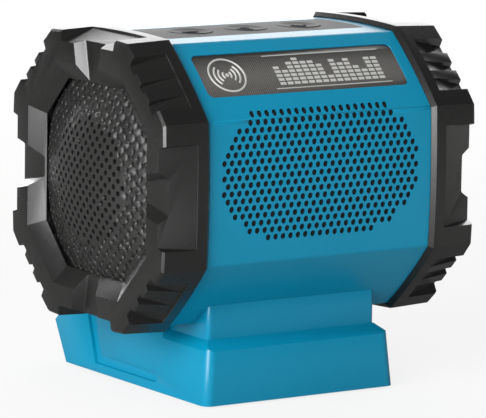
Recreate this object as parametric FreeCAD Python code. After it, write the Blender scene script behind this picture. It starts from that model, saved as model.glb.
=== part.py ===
"""Jobsite speaker radio: an eight sided barrel with a driver in each end, carried on a battery dock.

Lengths are millimetres. X runs along the barrel, -Y is the perforated front, +Z is up.
The pieces are drawn about the barrel's axis and moved once, so that the feet stand on Z = 0.
"""
import FreeCAD
import Part
import math
import os

Vector = FreeCAD.Vector
X_AXIS = Vector(1, 0, 0)
Y_AXIS = Vector(0, 1, 0)
Z_AXIS = Vector(0, 0, 1)
ORIGIN = Vector(0, 0, 0)
TAN_OCT = math.tan(math.radians(22.5))
ROOT_HALF = math.sqrt(0.5)

# Barrel: moulded plastic tube with eight slightly crowned faces
BARREL_HALF = 74.0          # axis to a flat, measured at the flat's two edges
BARREL_FLAT_HALF = 37.15    # half the length of the four straight flats
FACE_CROWN = 1.2            # how far the middle of each face stands out
BARREL_EDGE_R = 3.5         # rounding of the eight long edges
BARREL_WALL = 3.0
SHELL_HALF = 80.0           # half the length of the tube, ends under the bumpers
SEAM_Y = 34.0               # plane where the rear housing starts
SEAM_GAP = 0.15
LIP_DEPTH = 6.0             # lap of the rear housing inside the front one
LIP_WALL = 1.5
LIP_HALF = 28.0
HOUSING_SCREW_X = 61.0
FIT = 0.15                  # gap between pieces that are fastened to each other
RUN = 0.3                   # gap between pieces that move past each other

# Front perforation: rows of holes in a triangular pattern inside a rounded field
HOLE_PITCH = 4.65
HOLE_R = 1.6
FIELD_SKIN = 0.7            # the wall is thinned around the holes
FIELD_HALF_X = 62.1
FIELD_HALF_Z = 40.5
FIELD_CENTRE_Z = 7.8
FIELD_TOP_SHIFT = 1.4       # the field bulges a little more above its middle row
FIELD_POWER = 2.14
FIELD_ROWS = 17

# End bumpers: thick rubber rings with tread blocks
BUMPER_HALF = 76.6
BUMPER_FLAT_HALF = 38.3
BUMPER_START = 69.8
BUMPER_FACE = 98.1
BUMPER_BEVEL = 2.2          # slope of the inner edge up to the bead
BUMPER_LEAD = 0.5           # height of the inner edge above the barrel
BEAD_WIDTH = 2.2
BEAD_STEP = 0.9             # the body narrows by this much from the bead to the outer face
BUMPER_EDGE = 1.2           # chamfer around the outer face
SNAP_X = 74.6
SNAP_WIDTH = 2.0
SNAP_DEPTH = 0.7
TREAD_LENGTH = 20.0         # how far the recesses run back from the outer face
SIDE_RECESS_HALF = 25.6
SIDE_RECESS_DEPTH = 5.6
NOTCH_FACE_HALF = 14.1
NOTCH_FLOOR_HALF = 10.3
NOTCH_DEPTH = 5.6
NOTCH_ROUND = 2.0           # rounding of the floor's two long corners
NOTCH_REACH = 74.0          # the two half widths are those at this distance from the axis
NOTCH_TAPER = 0.21          # narrowing for each millimetre towards the axis
DIAG_RECESS_HALF = 16.6
DIAG_RIDGE_DEPTH = 2.6
DIAG_GROOVE_DEPTH = 5.4
DIAG_GROOVE_HALF = 2.9
DIAG_GROOVE_OUT = 12.9
DIAG_MID_GROOVE_HALF = 1.9
WALL_DRAFT = 0.28
FUNNEL_HALF = 59.6
FUNNEL_FLAT_HALF = 32.5
FUNNEL_SLOPE = 1.5          # inward run for each millimetre of depth
FUNNEL_DEPTH = 6.2
POCKET_R = 61.0             # hollow behind the bumper's face
POCKET_HALF = 66.0
POCKET_DEPTH = 6.5

# Domed end grilles
GRILLE_R = 58.2
GRILLE_EDGE_X = 88.0
GRILLE_RISE = 11.6
GRILLE_HOLE_R = 1.35
GRILLE_WALL = 1.6
GRILLE_FLANGE_R = 61.0
GRILLE_FLANGE = 2.0
THROUGH_FIELD_R = 33.2
DIMPLE_FIELD_R = 56.0
DIMPLE_R = 1.05
DIMPLE_DEPTH = 0.8

# End plates and drivers
PLATE_T = 4.0
PLATE_REBATE = 1.5
PLATE_BOSS_N = 73.0         # distance of the screw bosses along the diagonals
BOSS_R = 4.2
BOSS_LENGTH = 20.0
SCREW_R = 1.5
HEAD_R = 2.9
HEAD_H = 2.2
SCREW_GRIP = 14.0
DRIVER_R = 33.0
DRIVER_FLANGE = 1.5
DRIVER_BORE_R = 29.0
DRIVER_SCREW_R = 30.9
BASKET_DEPTH = 14.0
BASKET_SEAT_R = 16.0
BASKET_WALL = 1.2
MAGNET_R = 22.0
MAGNET_T = 12.0
COIL_R = 10.4
COIL_WALL = 0.5
CONE_R = 23.6
CONE_WALL = 0.6
SURROUND_R = 28.6
ROLL_R = 2.0
SMALL_SCREW_R = 1.1
SMALL_HEAD_R = 2.0
SMALL_HEAD_H = 1.4

# Control panel, buttons and their board
PANEL_HALF_X = 62.9
PANEL_HALF_Y = 22.0
PANEL_FLOOR = 73.0
PANEL_CORNER_R = 2.5
WINDOW_HALF_X = 56.0
WINDOW_HALF_Y = 16.5
KEY_FRAME_T = 2.6
BUTTON_R = 12.0
BUTTON_SPACING = 34.5
BUTTON_TRAVEL = 0.9
BUTTON_PROUD = 0.25
BUTTON_DISH = 1.1
BUTTON_FLANGE_R = 13.6
BUTTON_FLANGE = 1.1
MARK_W = 1.7
MARK_HALF = 4.6
MARK_H = 0.8
BOARD_T = 1.6
SWITCH_SIDE = 6.2
SWITCH_H = 3.4
PLUNGER_R = 1.7
PLUNGER_H = 0.6
KEY_BOARD_HALF_X = 54.0
KEY_BOARD_HALF_Y = 15.0
KEY_SCREW_X = 50.0
KEY_SCREW_Y = 19.4

# Label plate on the upper front slant
LABEL_HALF_X = 63.0
LABEL_TOP = 8.7             # from the slant's top edge, down the slant
LABEL_BOTTOM = 36.7
LABEL_CORNER_R = 3.6
LABEL_RECESS = 0.9
LABEL_T = 0.6

# Passive radiator and cloth behind the front perforation
CLOTH_T = 0.4
CLOTH_GAP = 0.05
CLOTH_HALF_X = 66.0
CLOTH_BOTTOM = -30.4
CLOTH_TOP = 42.6
RADIATOR_CENTRE_Z = 2.6
RADIATOR_POST_R = 3.2
RADIATOR_HALF_X = 62.0
RADIATOR_HALF_Z = 29.0
RADIATOR_RING = 8.0
RADIATOR_T = 5.0
RADIATOR_ROLL = 6.0
DIAPHRAGM_T = 1.4

# Main board with its parts
BOARD_HALF_X = 44.0
BOARD_Y0 = -24.0
BOARD_Y1 = 24.0
BOARD_UNDER = -63.6
BOARD_SCREW_INSET = 4.5
SINK_W = 30.0
SINK_D = 16.0
SINK_H = 14.0
FIN_COUNT = 6
CAN_R = 5.0
CAN_H = 16.0
CAN_COUNT = 3

# Sockets in the back with their cover
PORT_Z = -14.0
PORT_HALF_X = 21.0
PORT_HALF_Z = 10.0
PORT_FLOOR = 71.0
PORT_PAD = 4.0
COVER_T = 2.4
KNUCKLE_R = 1.45
PIN_R = 0.8
PIN_RUN = 0.06
PIN_GRIP = 3.0
JACK_R = 3.2
JACK_BORE_R = 1.8
JACK_X = -9.0
USB_X = 7.0
USB_W = 13.2
USB_H = 5.8
SOCKET_DEPTH = 11.0

# Neck between barrel and dock
NECK_HALF_X = 53.0
NECK_HALF_Y = 49.9
NECK_WALL = 3.0
NECK_EDGE_R = 2.5
NECK_SCREW_X = 34.0
NECK_SCREW_Y = 24.0

# Battery dock
DOCK_BOTTOM = -114.2
DOCK_DECK = -81.1
DOCK_BACK_TOP = -77.5
DOCK_LEDGE = -85.6
DOCK_HALF_X = 60.4
DOCK_FRONT = -59.9
DOCK_REAR = 80.4
DOCK_REAR_REACH = 95.7
DOCK_REAR_REACH_Z = -93.0
LEDGE_HALF_X = 57.7
LEDGE_FRONT = -58.0
LEDGE_END = -13.2
DOCK_WALL = 3.0
DOCK_CORNER_R = 5.0
TUNNEL_WALL = 2.4
GROOVE_DEPTH = 1.9
GROOVE_TOP_Y = 62.4
GROOVE_KNEE_Y = 46.6
GROOVE_END_Y = -9.2
GROOVE_LOW_Z = -106.9
GROOVE_HALF_V = 4.3
GROOVE_HALF_H = 2.7
BASE_PLATE_T = 2.6
FOOT_R = 7.0
FOOT_H = 2.6
FOOT_PROUD = 1.0
FOOT_X = 50.0
FOOT_FRONT_Y = -48.0
FOOT_REAR_Y = 66.0

# Battery pack
PACK_HALF_X = 38.0
PACK_FRONT = -24.0
PACK_BODY_H = 21.9
PACK_WALL = 1.7
PACK_NECK_HALF = 29.0
PACK_HEAD_HALF = 33.0
PACK_NECK_H = 2.8
PACK_HEAD_H = 2.1
PACK_SET_BACK = 0.5
CELL_R = 9.1
CELL_LENGTH = 65.0
CELL_COUNT = 5
CELL_PITCH = 18.5
BLADE_T = 0.8
BLADE_SPACING = 12.0
BLADE_REACH = 12.0
CLIP_T = 0.4
CLIP_RUN = 0.1
LATCH_HALF_X = 14.0
LATCH_TRAVEL = 2.2
LATCH_HOOK = 1.5
LATCH_Y = 76.0
SPRING_R = 3.0
SPRING_WIRE = 0.7
SPRING_TURNS = 4
SPRING_STEPS = 16           # straight lengths in each turn
SPRING_SIDES = 8

# Places that follow from the sizes above
FLOOR_Z = DOCK_BOTTOM - FOOT_PROUD
BUMPER_REACH = BUMPER_HALF + FACE_CROWN
BODY_HALF = BUMPER_HALF - BEAD_STEP
BODY_FLAT_HALF = BUMPER_FLAT_HALF - BEAD_STEP * TAN_OCT
THROAT_HALF = FUNNEL_HALF - FUNNEL_DEPTH * FUNNEL_SLOPE
DOME_R = (GRILLE_R ** 2 + GRILLE_RISE ** 2) / (2 * GRILLE_RISE)
DOME_CENTRE_X = GRILLE_EDGE_X + GRILLE_RISE - DOME_R
AXIS_Y = (BUMPER_REACH - DOCK_REAR_REACH) / 2
SHIFT = Vector(0, AXIS_Y, -FLOOR_Z)
DOCK_UNDER_DECK = DOCK_DECK - DOCK_WALL
PLATE_TOP = DOCK_BOTTOM + BASE_PLATE_T
PACK_BOTTOM = PLATE_TOP + RUN
PACK_SHOULDER = PACK_BOTTOM + PACK_BODY_H
PACK_NECK_TOP = PACK_SHOULDER + PACK_NECK_H
PACK_TOP = PACK_NECK_TOP + PACK_HEAD_H
TUNNEL_HALF = PACK_HALF_X + 1.3


def save(name, shape):
    """Write one piece in the part's own frame."""
    placed = shape.copy()
    placed.translate(SHIFT)
    placed.exportStep("parts/" + name + ".step")
    print(name, len(placed.Solids), round(placed.Volume), placed.isValid())


def box(x0, x1, y0, y1, z0, z1):
    return Part.makeBox(x1 - x0, y1 - y0, z1 - z0, Vector(x0, y0, z0))


def rod(radius, start, end):
    along = end - start
    return Part.makeCylinder(radius, along.Length, start, along)


def ring(outer_r, inner_r, start, end):
    return rod(outer_r, start, end).cut(rod(inner_r, start, end))


def join(shapes):
    whole = shapes[0]
    if len(shapes) > 1:
        whole = whole.fuse(shapes[1:])
    return whole.removeSplitter()


def group(shapes):
    return Part.makeCompound(shapes)


def mirror_x(shape):
    return shape.mirror(ORIGIN, X_AXIS)


def both_sides(shape):
    return [shape, mirror_x(shape)]


def hexahedron(low, high):
    """Solid with flat faces between two four sided outlines, corner to corner."""
    loops = [low, high]
    for i in range(4):
        k = (i + 1) % 4
        loops.append([low[i], low[k], high[k], high[i]])
    faces = [Part.Face(Part.makePolygon(loop + [loop[0]])) for loop in loops]
    solid = Part.Solid(Part.Shell(faces))
    if solid.Volume < 0:
        solid.reverse()
    return solid


def extrude(points, direction):
    return Part.Face(Part.makePolygon(points + [points[0]])).extrude(direction)


def round_edges(shape, radius, along, chosen=None):
    """Round the straight edges that run along one direction."""
    edges = []
    for edge in shape.Edges:
        if len(edge.Vertexes) != 2:
            continue
        run = edge.Vertexes[1].Point - edge.Vertexes[0].Point
        straight = abs(run.Length - edge.Length) < 1e-6
        parallel = run.Length > 0 and abs(run.dot(along)) > 0.97 * run.Length
        if straight and parallel and (chosen is None or chosen(edge.CenterOfMass)):
            edges.append(edge)
    return shape.makeFillet(radius, edges)


def octagon_corners(half, flat_half):
    return [(-flat_half, half), (flat_half, half), (half, flat_half), (half, -flat_half),
            (flat_half, -half), (-flat_half, -half), (-half, -flat_half), (-half, flat_half)]


def octagon_face(x, half, flat_half, crown):
    """Eight sided outline in a plane across the barrel, each side an arc with the given rise."""
    corners = octagon_corners(half, flat_half)
    edges = []
    for i in range(8):
        a = Vector(x, *corners[i])
        b = Vector(x, *corners[(i + 1) % 8])
        middle = (a + b) * 0.5
        outward = Vector(0, middle.y, middle.z).normalize()
        if crown > 0:
            edges.append(Part.Arc(a, middle + outward * crown, b).toShape())
        else:
            edges.append(Part.LineSegment(a, b).toShape())
    return Part.Face(Part.Wire(edges))


def octagon_prism(x0, x1, inset=0.0, edge_r=0.0):
    """The barrel's outline moved in by inset, between two planes across the barrel."""
    half = BARREL_HALF - inset
    flat_half = BARREL_FLAT_HALF - inset * TAN_OCT
    solid = octagon_face(x0, half, flat_half, FACE_CROWN).extrude(Vector(x1 - x0, 0, 0))
    if edge_r > 0:
        solid = round_edges(solid, edge_r, X_AXIS)
    return solid


def barrel_layer(x0, x1, outer_inset, inner_inset):
    """Skin between two insets of the barrel's outline."""
    return octagon_prism(x0, x1, outer_inset).cut(octagon_prism(x0, x1, inner_inset))


def screw(seat, into, length, radius, head_r, head_h):
    """Screw with its head's underside at seat and its shank running along into."""
    out = into * -1
    side = into.cross(Vector(0.3, 0.5, 0.8)).normalize()
    cross = into.cross(side)
    body = rod(head_r, seat, seat + out * head_h).fuse(rod(radius, seat, seat + into * length))
    top = seat + out * head_h
    for a, b in ((side, cross), (cross, side)):
        long_half = a * head_r * 0.55
        short_half = b * head_r * 0.14
        corners = [top - long_half - short_half, top + long_half - short_half,
                   top + long_half + short_half, top - long_half + short_half]
        body = body.cut(extrude(corners, into * head_h * 0.5))
    return body.removeSplitter()


def barrel_top_z(y):
    """Height of the crowned top face above a place across it."""
    radius = (BARREL_FLAT_HALF ** 2 + FACE_CROWN ** 2) / (2 * FACE_CROWN)
    return BARREL_HALF + FACE_CROWN - radius + math.sqrt(radius ** 2 - y ** 2)


# Barrel housings

def field_half_width(offset_z):
    """Half width of the perforated field at a height above its middle row."""
    share = abs(offset_z - FIELD_TOP_SHIFT) / FIELD_HALF_Z
    return FIELD_HALF_X * (1 - share ** FIELD_POWER) ** (1 / FIELD_POWER)


def front_holes():
    row_step = HOLE_PITCH * math.sqrt(0.75)
    middle_row = FIELD_ROWS // 2
    pins = []
    for row in range(FIELD_ROWS):
        offset = (middle_row - row) * row_step
        shift = 0.5 * (row % 2)
        count = int(field_half_width(offset) / HOLE_PITCH - shift)
        first = -count - shift
        last = count + shift
        steps = int(round(last - first))
        for k in range(steps + 1):
            x = (first + k) * HOLE_PITCH
            z = FIELD_CENTRE_Z + offset
            start = Vector(x, -BARREL_HALF - 2 * FACE_CROWN, z)
            end = Vector(x, -BARREL_HALF + 3 * BARREL_WALL, z)
            pins.append(rod(HOLE_R, start, end))
    return pins


def plate_boss_places():
    offset = PLATE_BOSS_N * ROOT_HALF
    return [(sy * offset, sz * offset) for sy in (-1, 1) for sz in (-1, 1)]


def barrel_tube():
    """The whole tube before it is parted into its two housings."""
    outer = octagon_prism(-SHELL_HALF, SHELL_HALF, 0, BARREL_EDGE_R)
    inner = octagon_prism(-SHELL_HALF, SHELL_HALF, BARREL_WALL)
    tube = outer.cut(inner)
    plate_x = SHELL_HALF - PLATE_T
    rebate = octagon_prism(plate_x, SHELL_HALF, BARREL_WALL - PLATE_REBATE)
    groove_x0 = SNAP_X - FIT
    groove_x1 = SNAP_X + SNAP_WIDTH + FIT
    groove = octagon_prism(groove_x0, groove_x1, -BARREL_WALL).cut(
        octagon_prism(groove_x0, groove_x1, SNAP_DEPTH + FIT))
    tube = tube.cut(both_sides(rebate) + both_sides(groove))
    bosses = []
    pilots = []
    for y, z in plate_boss_places():
        end = Vector(plate_x, y, z)
        boss = rod(BOSS_R, Vector(plate_x - BOSS_LENGTH, y, z), end)
        pilot = rod(SCREW_R, Vector(plate_x - SCREW_GRIP, y, z), end)
        bosses += both_sides(boss.common(outer))
        pilots += both_sides(pilot)
    return join([tube] + bosses).cut(pilots)


def housing_screw_places():
    z = BARREL_HALF - BARREL_WALL - BOSS_R + 1.0
    return [(sx * HOUSING_SCREW_X, sz * z) for sx in (-1, 1) for sz in (-1, 1)]


HOUSING_SEAT_Y = SEAM_Y + 4.0


def key_frame():
    """Thicker rim inside the top, which carries the control panel and its board."""
    rim_y = PANEL_HALF_Y + 2.0
    rim = box(-PANEL_HALF_X - 2, PANEL_HALF_X + 2, -rim_y, rim_y,
              PANEL_FLOOR - KEY_FRAME_T - 1.0, PANEL_FLOOR)
    posts = []
    for x, y in key_screw_places():
        posts.append(rod(2.6, Vector(x, y, KEY_BOARD_TOP), Vector(x, y, PANEL_FLOOR - 1)))
    return [rim] + posts


def key_window():
    return box(-WINDOW_HALF_X, WINDOW_HALF_X, -WINDOW_HALF_Y, WINDOW_HALF_Y,
               PANEL_FLOOR - 2 * KEY_FRAME_T, BARREL_HALF + 2 * FACE_CROWN)


BUTTON_UNDER = PANEL_FLOOR - BUTTON_FLANGE
KEY_BOARD_TOP = BUTTON_UNDER - BUTTON_TRAVEL - RUN - PLUNGER_H - SWITCH_H


def key_screw_places():
    return [(sx * KEY_SCREW_X, sy * KEY_SCREW_Y) for sx in (-1, 1) for sy in (-1, 1)]


def panel_outline(gap, z0, z1):
    slab = box(-PANEL_HALF_X + gap, PANEL_HALF_X - gap, -PANEL_HALF_Y + gap, PANEL_HALF_Y - gap, z0, z1)
    return round_edges(slab, PANEL_CORNER_R, Z_AXIS)


def slant_slab(top, bottom, half_x, corner_r):
    """Slab square to the upper front slant, with rounded corners."""
    normal = Vector(0, -ROOT_HALF, ROOT_HALF)
    down = Vector(0, -ROOT_HALF, -ROOT_HALF)
    edge = Vector(0, -BARREL_FLAT_HALF, BARREL_HALF)
    inner = edge - normal * 4
    corners = [inner + down * top - X_AXIS * half_x, inner + down * top + X_AXIS * half_x,
               inner + down * bottom + X_AXIS * half_x, inner + down * bottom - X_AXIS * half_x]
    slab = extrude(corners, normal * 8)
    return round_edges(slab, corner_r, normal)


def board_post_places():
    xs = (-BOARD_HALF_X + BOARD_SCREW_INSET, BOARD_HALF_X - BOARD_SCREW_INSET)
    ys = (BOARD_Y0 + BOARD_SCREW_INSET, BOARD_Y1 - BOARD_SCREW_INSET)
    return [(x, y) for x in xs for y in ys]


def neck_screw_places():
    return [(sx * NECK_SCREW_X, sy * NECK_SCREW_Y) for sx in (-1, 1) for sy in (-1, 1)]


NECK_POST_TOP = BOARD_UNDER - 2.0


def radiator_screw_places():
    x = RADIATOR_HALF_X - 4.0
    z = RADIATOR_HALF_Z - 4.0
    return [(sx * x, RADIATOR_CENTRE_Z + sz * z) for sx in (-1, 1) for sz in (-1, 1)]


def field_pocket():
    """Space behind the perforated field, where the wall is thin and the cloth lies."""
    gap = 1.0
    reach = box(-CLOTH_HALF_X - gap, CLOTH_HALF_X + gap, -2 * BARREL_HALF, -BARREL_FLAT_HALF,
                CLOTH_BOTTOM - gap, CLOTH_TOP + gap)
    return reach.common(barrel_layer(-SHELL_HALF, SHELL_HALF, FIELD_SKIN, BARREL_WALL + 1.0))


def front_housing():
    tube = barrel_tube().cut(field_pocket())
    keep = box(-2 * SHELL_HALF, 2 * SHELL_HALF, -2 * BARREL_HALF, SEAM_Y, -2 * BARREL_HALF, 2 * BARREL_HALF)
    shell = tube.common(keep)
    inside = octagon_prism(-SHELL_HALF, SHELL_HALF, BARREL_WALL / 2)
    added = [piece.common(inside) for piece in key_frame()]
    for x, z in housing_screw_places():
        added.append(rod(BOSS_R, Vector(x, SEAM_Y - BOSS_LENGTH, z), Vector(x, SEAM_Y, z)).common(inside))
    for x, y in board_post_places():
        added.append(rod(3.0, Vector(x, y, -BARREL_HALF + 0.5), Vector(x, y, BOARD_UNDER)))
    for x, y in neck_screw_places():
        added.append(rod(BOSS_R, Vector(x, y, -BARREL_HALF + 0.5), Vector(x, y, NECK_POST_TOP)))
    for x, z in radiator_screw_places():
        post = rod(RADIATOR_POST_R, Vector(x, -BARREL_HALF, z), Vector(x, RADIATOR_SEAT_Y, z))
        added.append(post.common(octagon_prism(-SHELL_HALF, SHELL_HALF, FIELD_SKIN / 2)))
    shell = join([shell] + added)
    cuts = [panel_outline(0, PANEL_FLOOR, BARREL_HALF + 2 * FACE_CROWN), key_window()]
    label_band = slant_slab(LABEL_TOP, LABEL_BOTTOM, LABEL_HALF_X, LABEL_CORNER_R)
    cuts.append(label_band.common(barrel_layer(-SHELL_HALF, SHELL_HALF, -2.0, LABEL_RECESS)))
    for x, z in housing_screw_places():
        cuts.append(rod(SCREW_R, Vector(x, HOUSING_SEAT_Y - SCREW_GRIP, z), Vector(x, SEAM_Y, z)))
    for x, y in board_post_places():
        cuts.append(rod(SMALL_SCREW_R, Vector(x, y, BOARD_UNDER - 5.0), Vector(x, y, BOARD_UNDER)))
    for x, y in neck_screw_places():
        cuts.append(rod(SCREW_R, Vector(x, y, -BARREL_HALF - 2 * FACE_CROWN), Vector(x, y, NECK_POST_TOP - 1)))
    for x, y in key_screw_places():
        cuts.append(rod(SMALL_SCREW_R, Vector(x, y, KEY_BOARD_TOP), Vector(x, y, KEY_BOARD_TOP + 4.0)))
    for x, z in radiator_screw_places():
        cuts.append(rod(SMALL_SCREW_R, Vector(x, RADIATOR_SEAT_Y - 3.0, z), Vector(x, RADIATOR_SEAT_Y, z)))
    return shell.cut(cuts).cut(front_holes())


def port_recess(depth_y):
    return box(-PORT_HALF_X, PORT_HALF_X, depth_y, BARREL_HALF + 2 * FACE_CROWN,
               PORT_Z - PORT_HALF_Z, PORT_Z + PORT_HALF_Z)


HINGE_Y = BARREL_HALF - 1.2
HINGE_Z = PORT_Z - PORT_HALF_Z + KNUCKLE_R + RUN
PORT_BOARD_Y = PORT_FLOOR - SOCKET_DEPTH


def port_screw_places():
    return [(sx * (PORT_HALF_X - 3.0), PORT_Z) for sx in (-1, 1)]


def rear_housing():
    tube = barrel_tube()
    keep = box(-2 * SHELL_HALF, 2 * SHELL_HALF, SEAM_Y + SEAM_GAP, 2 * BARREL_HALF,
               -2 * BARREL_HALF, 2 * BARREL_HALF)
    shell = tube.common(keep)
    outer = octagon_prism(-SHELL_HALF, SHELL_HALF)
    inset = BARREL_WALL + FIT
    lap = barrel_layer(-LIP_HALF, LIP_HALF, inset, inset + LIP_WALL)
    lap = lap.common(box(-LIP_HALF, LIP_HALF, SEAM_Y - LIP_DEPTH, SEAM_Y + 2, -BARREL_HALF, BARREL_HALF))
    root = barrel_layer(-LIP_HALF, LIP_HALF, BARREL_WALL / 2, inset + LIP_WALL)
    root = root.common(box(-LIP_HALF, LIP_HALF, SEAM_Y + SEAM_GAP, SEAM_Y + 3, -BARREL_HALF, BARREL_HALF))
    added = [lap, root]
    reach_y = HOUSING_SEAT_Y + 6.0
    for x, z in housing_screw_places():
        added.append(rod(BOSS_R + 0.6, Vector(x, SEAM_Y + SEAM_GAP, z), Vector(x, reach_y, z)).common(outer))
    pad = box(-PORT_HALF_X - 3, PORT_HALF_X + 3, BARREL_HALF - BARREL_WALL - PORT_PAD, BARREL_HALF - 1,
              PORT_Z - PORT_HALF_Z - 3, PORT_Z + PORT_HALF_Z + 3)
    added.append(pad)
    for x, z in port_screw_places():
        added.append(rod(2.4, Vector(x, PORT_BOARD_Y, z), Vector(x, PORT_FLOOR - 1.0, z)))
    shell = join([shell] + added)
    cuts = [port_recess(PORT_FLOOR)]
    for x, z in housing_screw_places():
        seat = Vector(x, HOUSING_SEAT_Y, z)
        cuts.append(rod(SCREW_R + FIT, Vector(x, SEAM_Y, z), seat))
        cuts.append(rod(HEAD_R + 2 * FIT, seat, Vector(x, BARREL_HALF, z)))
    cuts.append(rod(JACK_R + FIT, Vector(JACK_X, PORT_BOARD_Y, PORT_Z), Vector(JACK_X, BARREL_HALF, PORT_Z)))
    cuts.append(box(USB_X - USB_W / 2 - FIT, USB_X + USB_W / 2 + FIT, PORT_BOARD_Y, BARREL_HALF,
                    PORT_Z - USB_H / 2 - FIT, PORT_Z + USB_H / 2 + FIT))
    pin_reach = PORT_HALF_X + PIN_GRIP
    cuts.append(rod(PIN_R, Vector(-pin_reach, HINGE_Y, HINGE_Z), Vector(pin_reach, HINGE_Y, HINGE_Z)))
    for x, z in port_screw_places():
        cuts.append(rod(SMALL_SCREW_R, Vector(x, PORT_BOARD_Y, z), Vector(x, PORT_BOARD_Y + 6.0, z)))
    return shell.cut(cuts)


def housing_screws():
    screws = []
    for x, z in housing_screw_places():
        screws.append(screw(Vector(x, HOUSING_SEAT_Y, z), Y_AXIS * -1, SCREW_GRIP, SCREW_R, HEAD_R, HEAD_H))
    return group(screws)


def label_plate():
    gap = FIT
    slab = slant_slab(LABEL_TOP + gap, LABEL_BOTTOM - gap, LABEL_HALF_X - gap, LABEL_CORNER_R - gap)
    skin = barrel_layer(-SHELL_HALF, SHELL_HALF, LABEL_RECESS - LABEL_T, LABEL_RECESS)
    return slab.common(skin)


# End bumpers

def bumper_face(x, inset=0.0):
    return octagon_face(x, BUMPER_HALF - inset, BUMPER_FLAT_HALF - inset * TAN_OCT, FACE_CROWN)


def bumper_prism(x0, x1, inset=0.0):
    return bumper_face(x0, inset).extrude(Vector(x1 - x0, 0, 0))


def taper(face_a, face_b):
    return Part.makeLoft([face_a.OuterWire, face_b.OuterWire], True, True)


def dome_x(distance):
    """Place along the barrel of the grille's outer surface, at a distance from the axis."""
    return DOME_CENTRE_X + math.sqrt(DOME_R ** 2 - distance ** 2)


LIP_X = dome_x(THROAT_HALF) + RUN


def funnel_outline(x, half):
    """Flat sided eight cornered opening; its sides keep their directions as it narrows."""
    flat_half = FUNNEL_FLAT_HALF - (FUNNEL_HALF - half) * TAN_OCT
    return octagon_face(x, half, flat_half, 0.0)


def funnel():
    """Opening over the grille: a sloping mouth, then a short straight throat."""
    over = 1.0
    throat_x = BUMPER_FACE - FUNNEL_DEPTH
    mouth = funnel_outline(BUMPER_FACE + over, FUNNEL_HALF + over * FUNNEL_SLOPE)
    slope = Part.makeLoft([mouth.OuterWire, funnel_outline(throat_x, THROAT_HALF).OuterWire], True, True)
    throat = funnel_outline(LIP_X, THROAT_HALF).extrude(Vector(throat_x - LIP_X, 0, 0))
    return [slope, throat]


def turned(shape, quarter_turns):
    copy = shape.copy()
    copy.rotate(ORIGIN, X_AXIS, 45.0 * quarter_turns)
    return copy


def tread_wedge(surface, centre, half, depth, length):
    """Wedge that sinks into a flat towards the outer face, its end walls leaning out."""
    front = BUMPER_FACE + 1.0
    back = BUMPER_FACE - length
    slope = depth / length
    top = surface + 4.0

    def outline(x):
        bottom = surface - (x - back) * slope
        low = half - (bottom - (surface - depth)) * -WALL_DRAFT
        high = half - (top - (surface - depth)) * -WALL_DRAFT
        return [Vector(x, centre - low, bottom), Vector(x, centre + low, bottom),
                Vector(x, centre + high, top), Vector(x, centre - high, top)]
    return hexahedron(outline(back), outline(front))


def notch():
    """Radial slot through the rim, its side walls leaning out towards the outer face."""
    floor_x = BUMPER_FACE - NOTCH_DEPTH
    lean = (NOTCH_FACE_HALF - NOTCH_FLOOR_HALF) / NOTCH_DEPTH
    over = 1.0

    def outline(z):
        narrow = NOTCH_FLOOR_HALF + (z - NOTCH_REACH) * NOTCH_TAPER
        wide = narrow + (NOTCH_DEPTH + over) * lean
        return [Vector(floor_x, -narrow, z), Vector(floor_x, narrow, z),
                Vector(BUMPER_FACE + over, wide, z), Vector(BUMPER_FACE + over, -wide, z)]
    solid = hexahedron(outline(THROAT_HALF - 3.0), outline(BUMPER_HALF + 5.0))
    floor = [edge for edge in solid.Edges
             if abs(edge.CenterOfMass.x - floor_x) < 0.01 and abs(edge.CenterOfMass.y) > 1.0]
    return solid.makeFillet(NOTCH_ROUND, floor)


def bumper_cuts():
    cuts = []
    flat_surface = BODY_HALF + FACE_CROWN / 2
    diag_surface = (BODY_HALF + BODY_FLAT_HALF) * ROOT_HALF + FACE_CROWN / 2
    recess = tread_wedge(flat_surface, 0.0, SIDE_RECESS_HALF, SIDE_RECESS_DEPTH, TREAD_LENGTH)
    slot = notch()
    diag = [tread_wedge(diag_surface, 0.0, DIAG_RECESS_HALF, DIAG_RIDGE_DEPTH, TREAD_LENGTH)]
    for centre, half in ((-DIAG_GROOVE_OUT, DIAG_GROOVE_HALF), (0.0, DIAG_MID_GROOVE_HALF),
                         (DIAG_GROOVE_OUT, DIAG_GROOVE_HALF)):
        diag.append(tread_wedge(diag_surface, centre, half, DIAG_GROOVE_DEPTH, TREAD_LENGTH))
    for quarter in range(4):
        cuts += [turned(recess, 2 * quarter), turned(slot, 2 * quarter)]
        cuts += [turned(shape, 2 * quarter + 1) for shape in diag]
    return cuts


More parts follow.
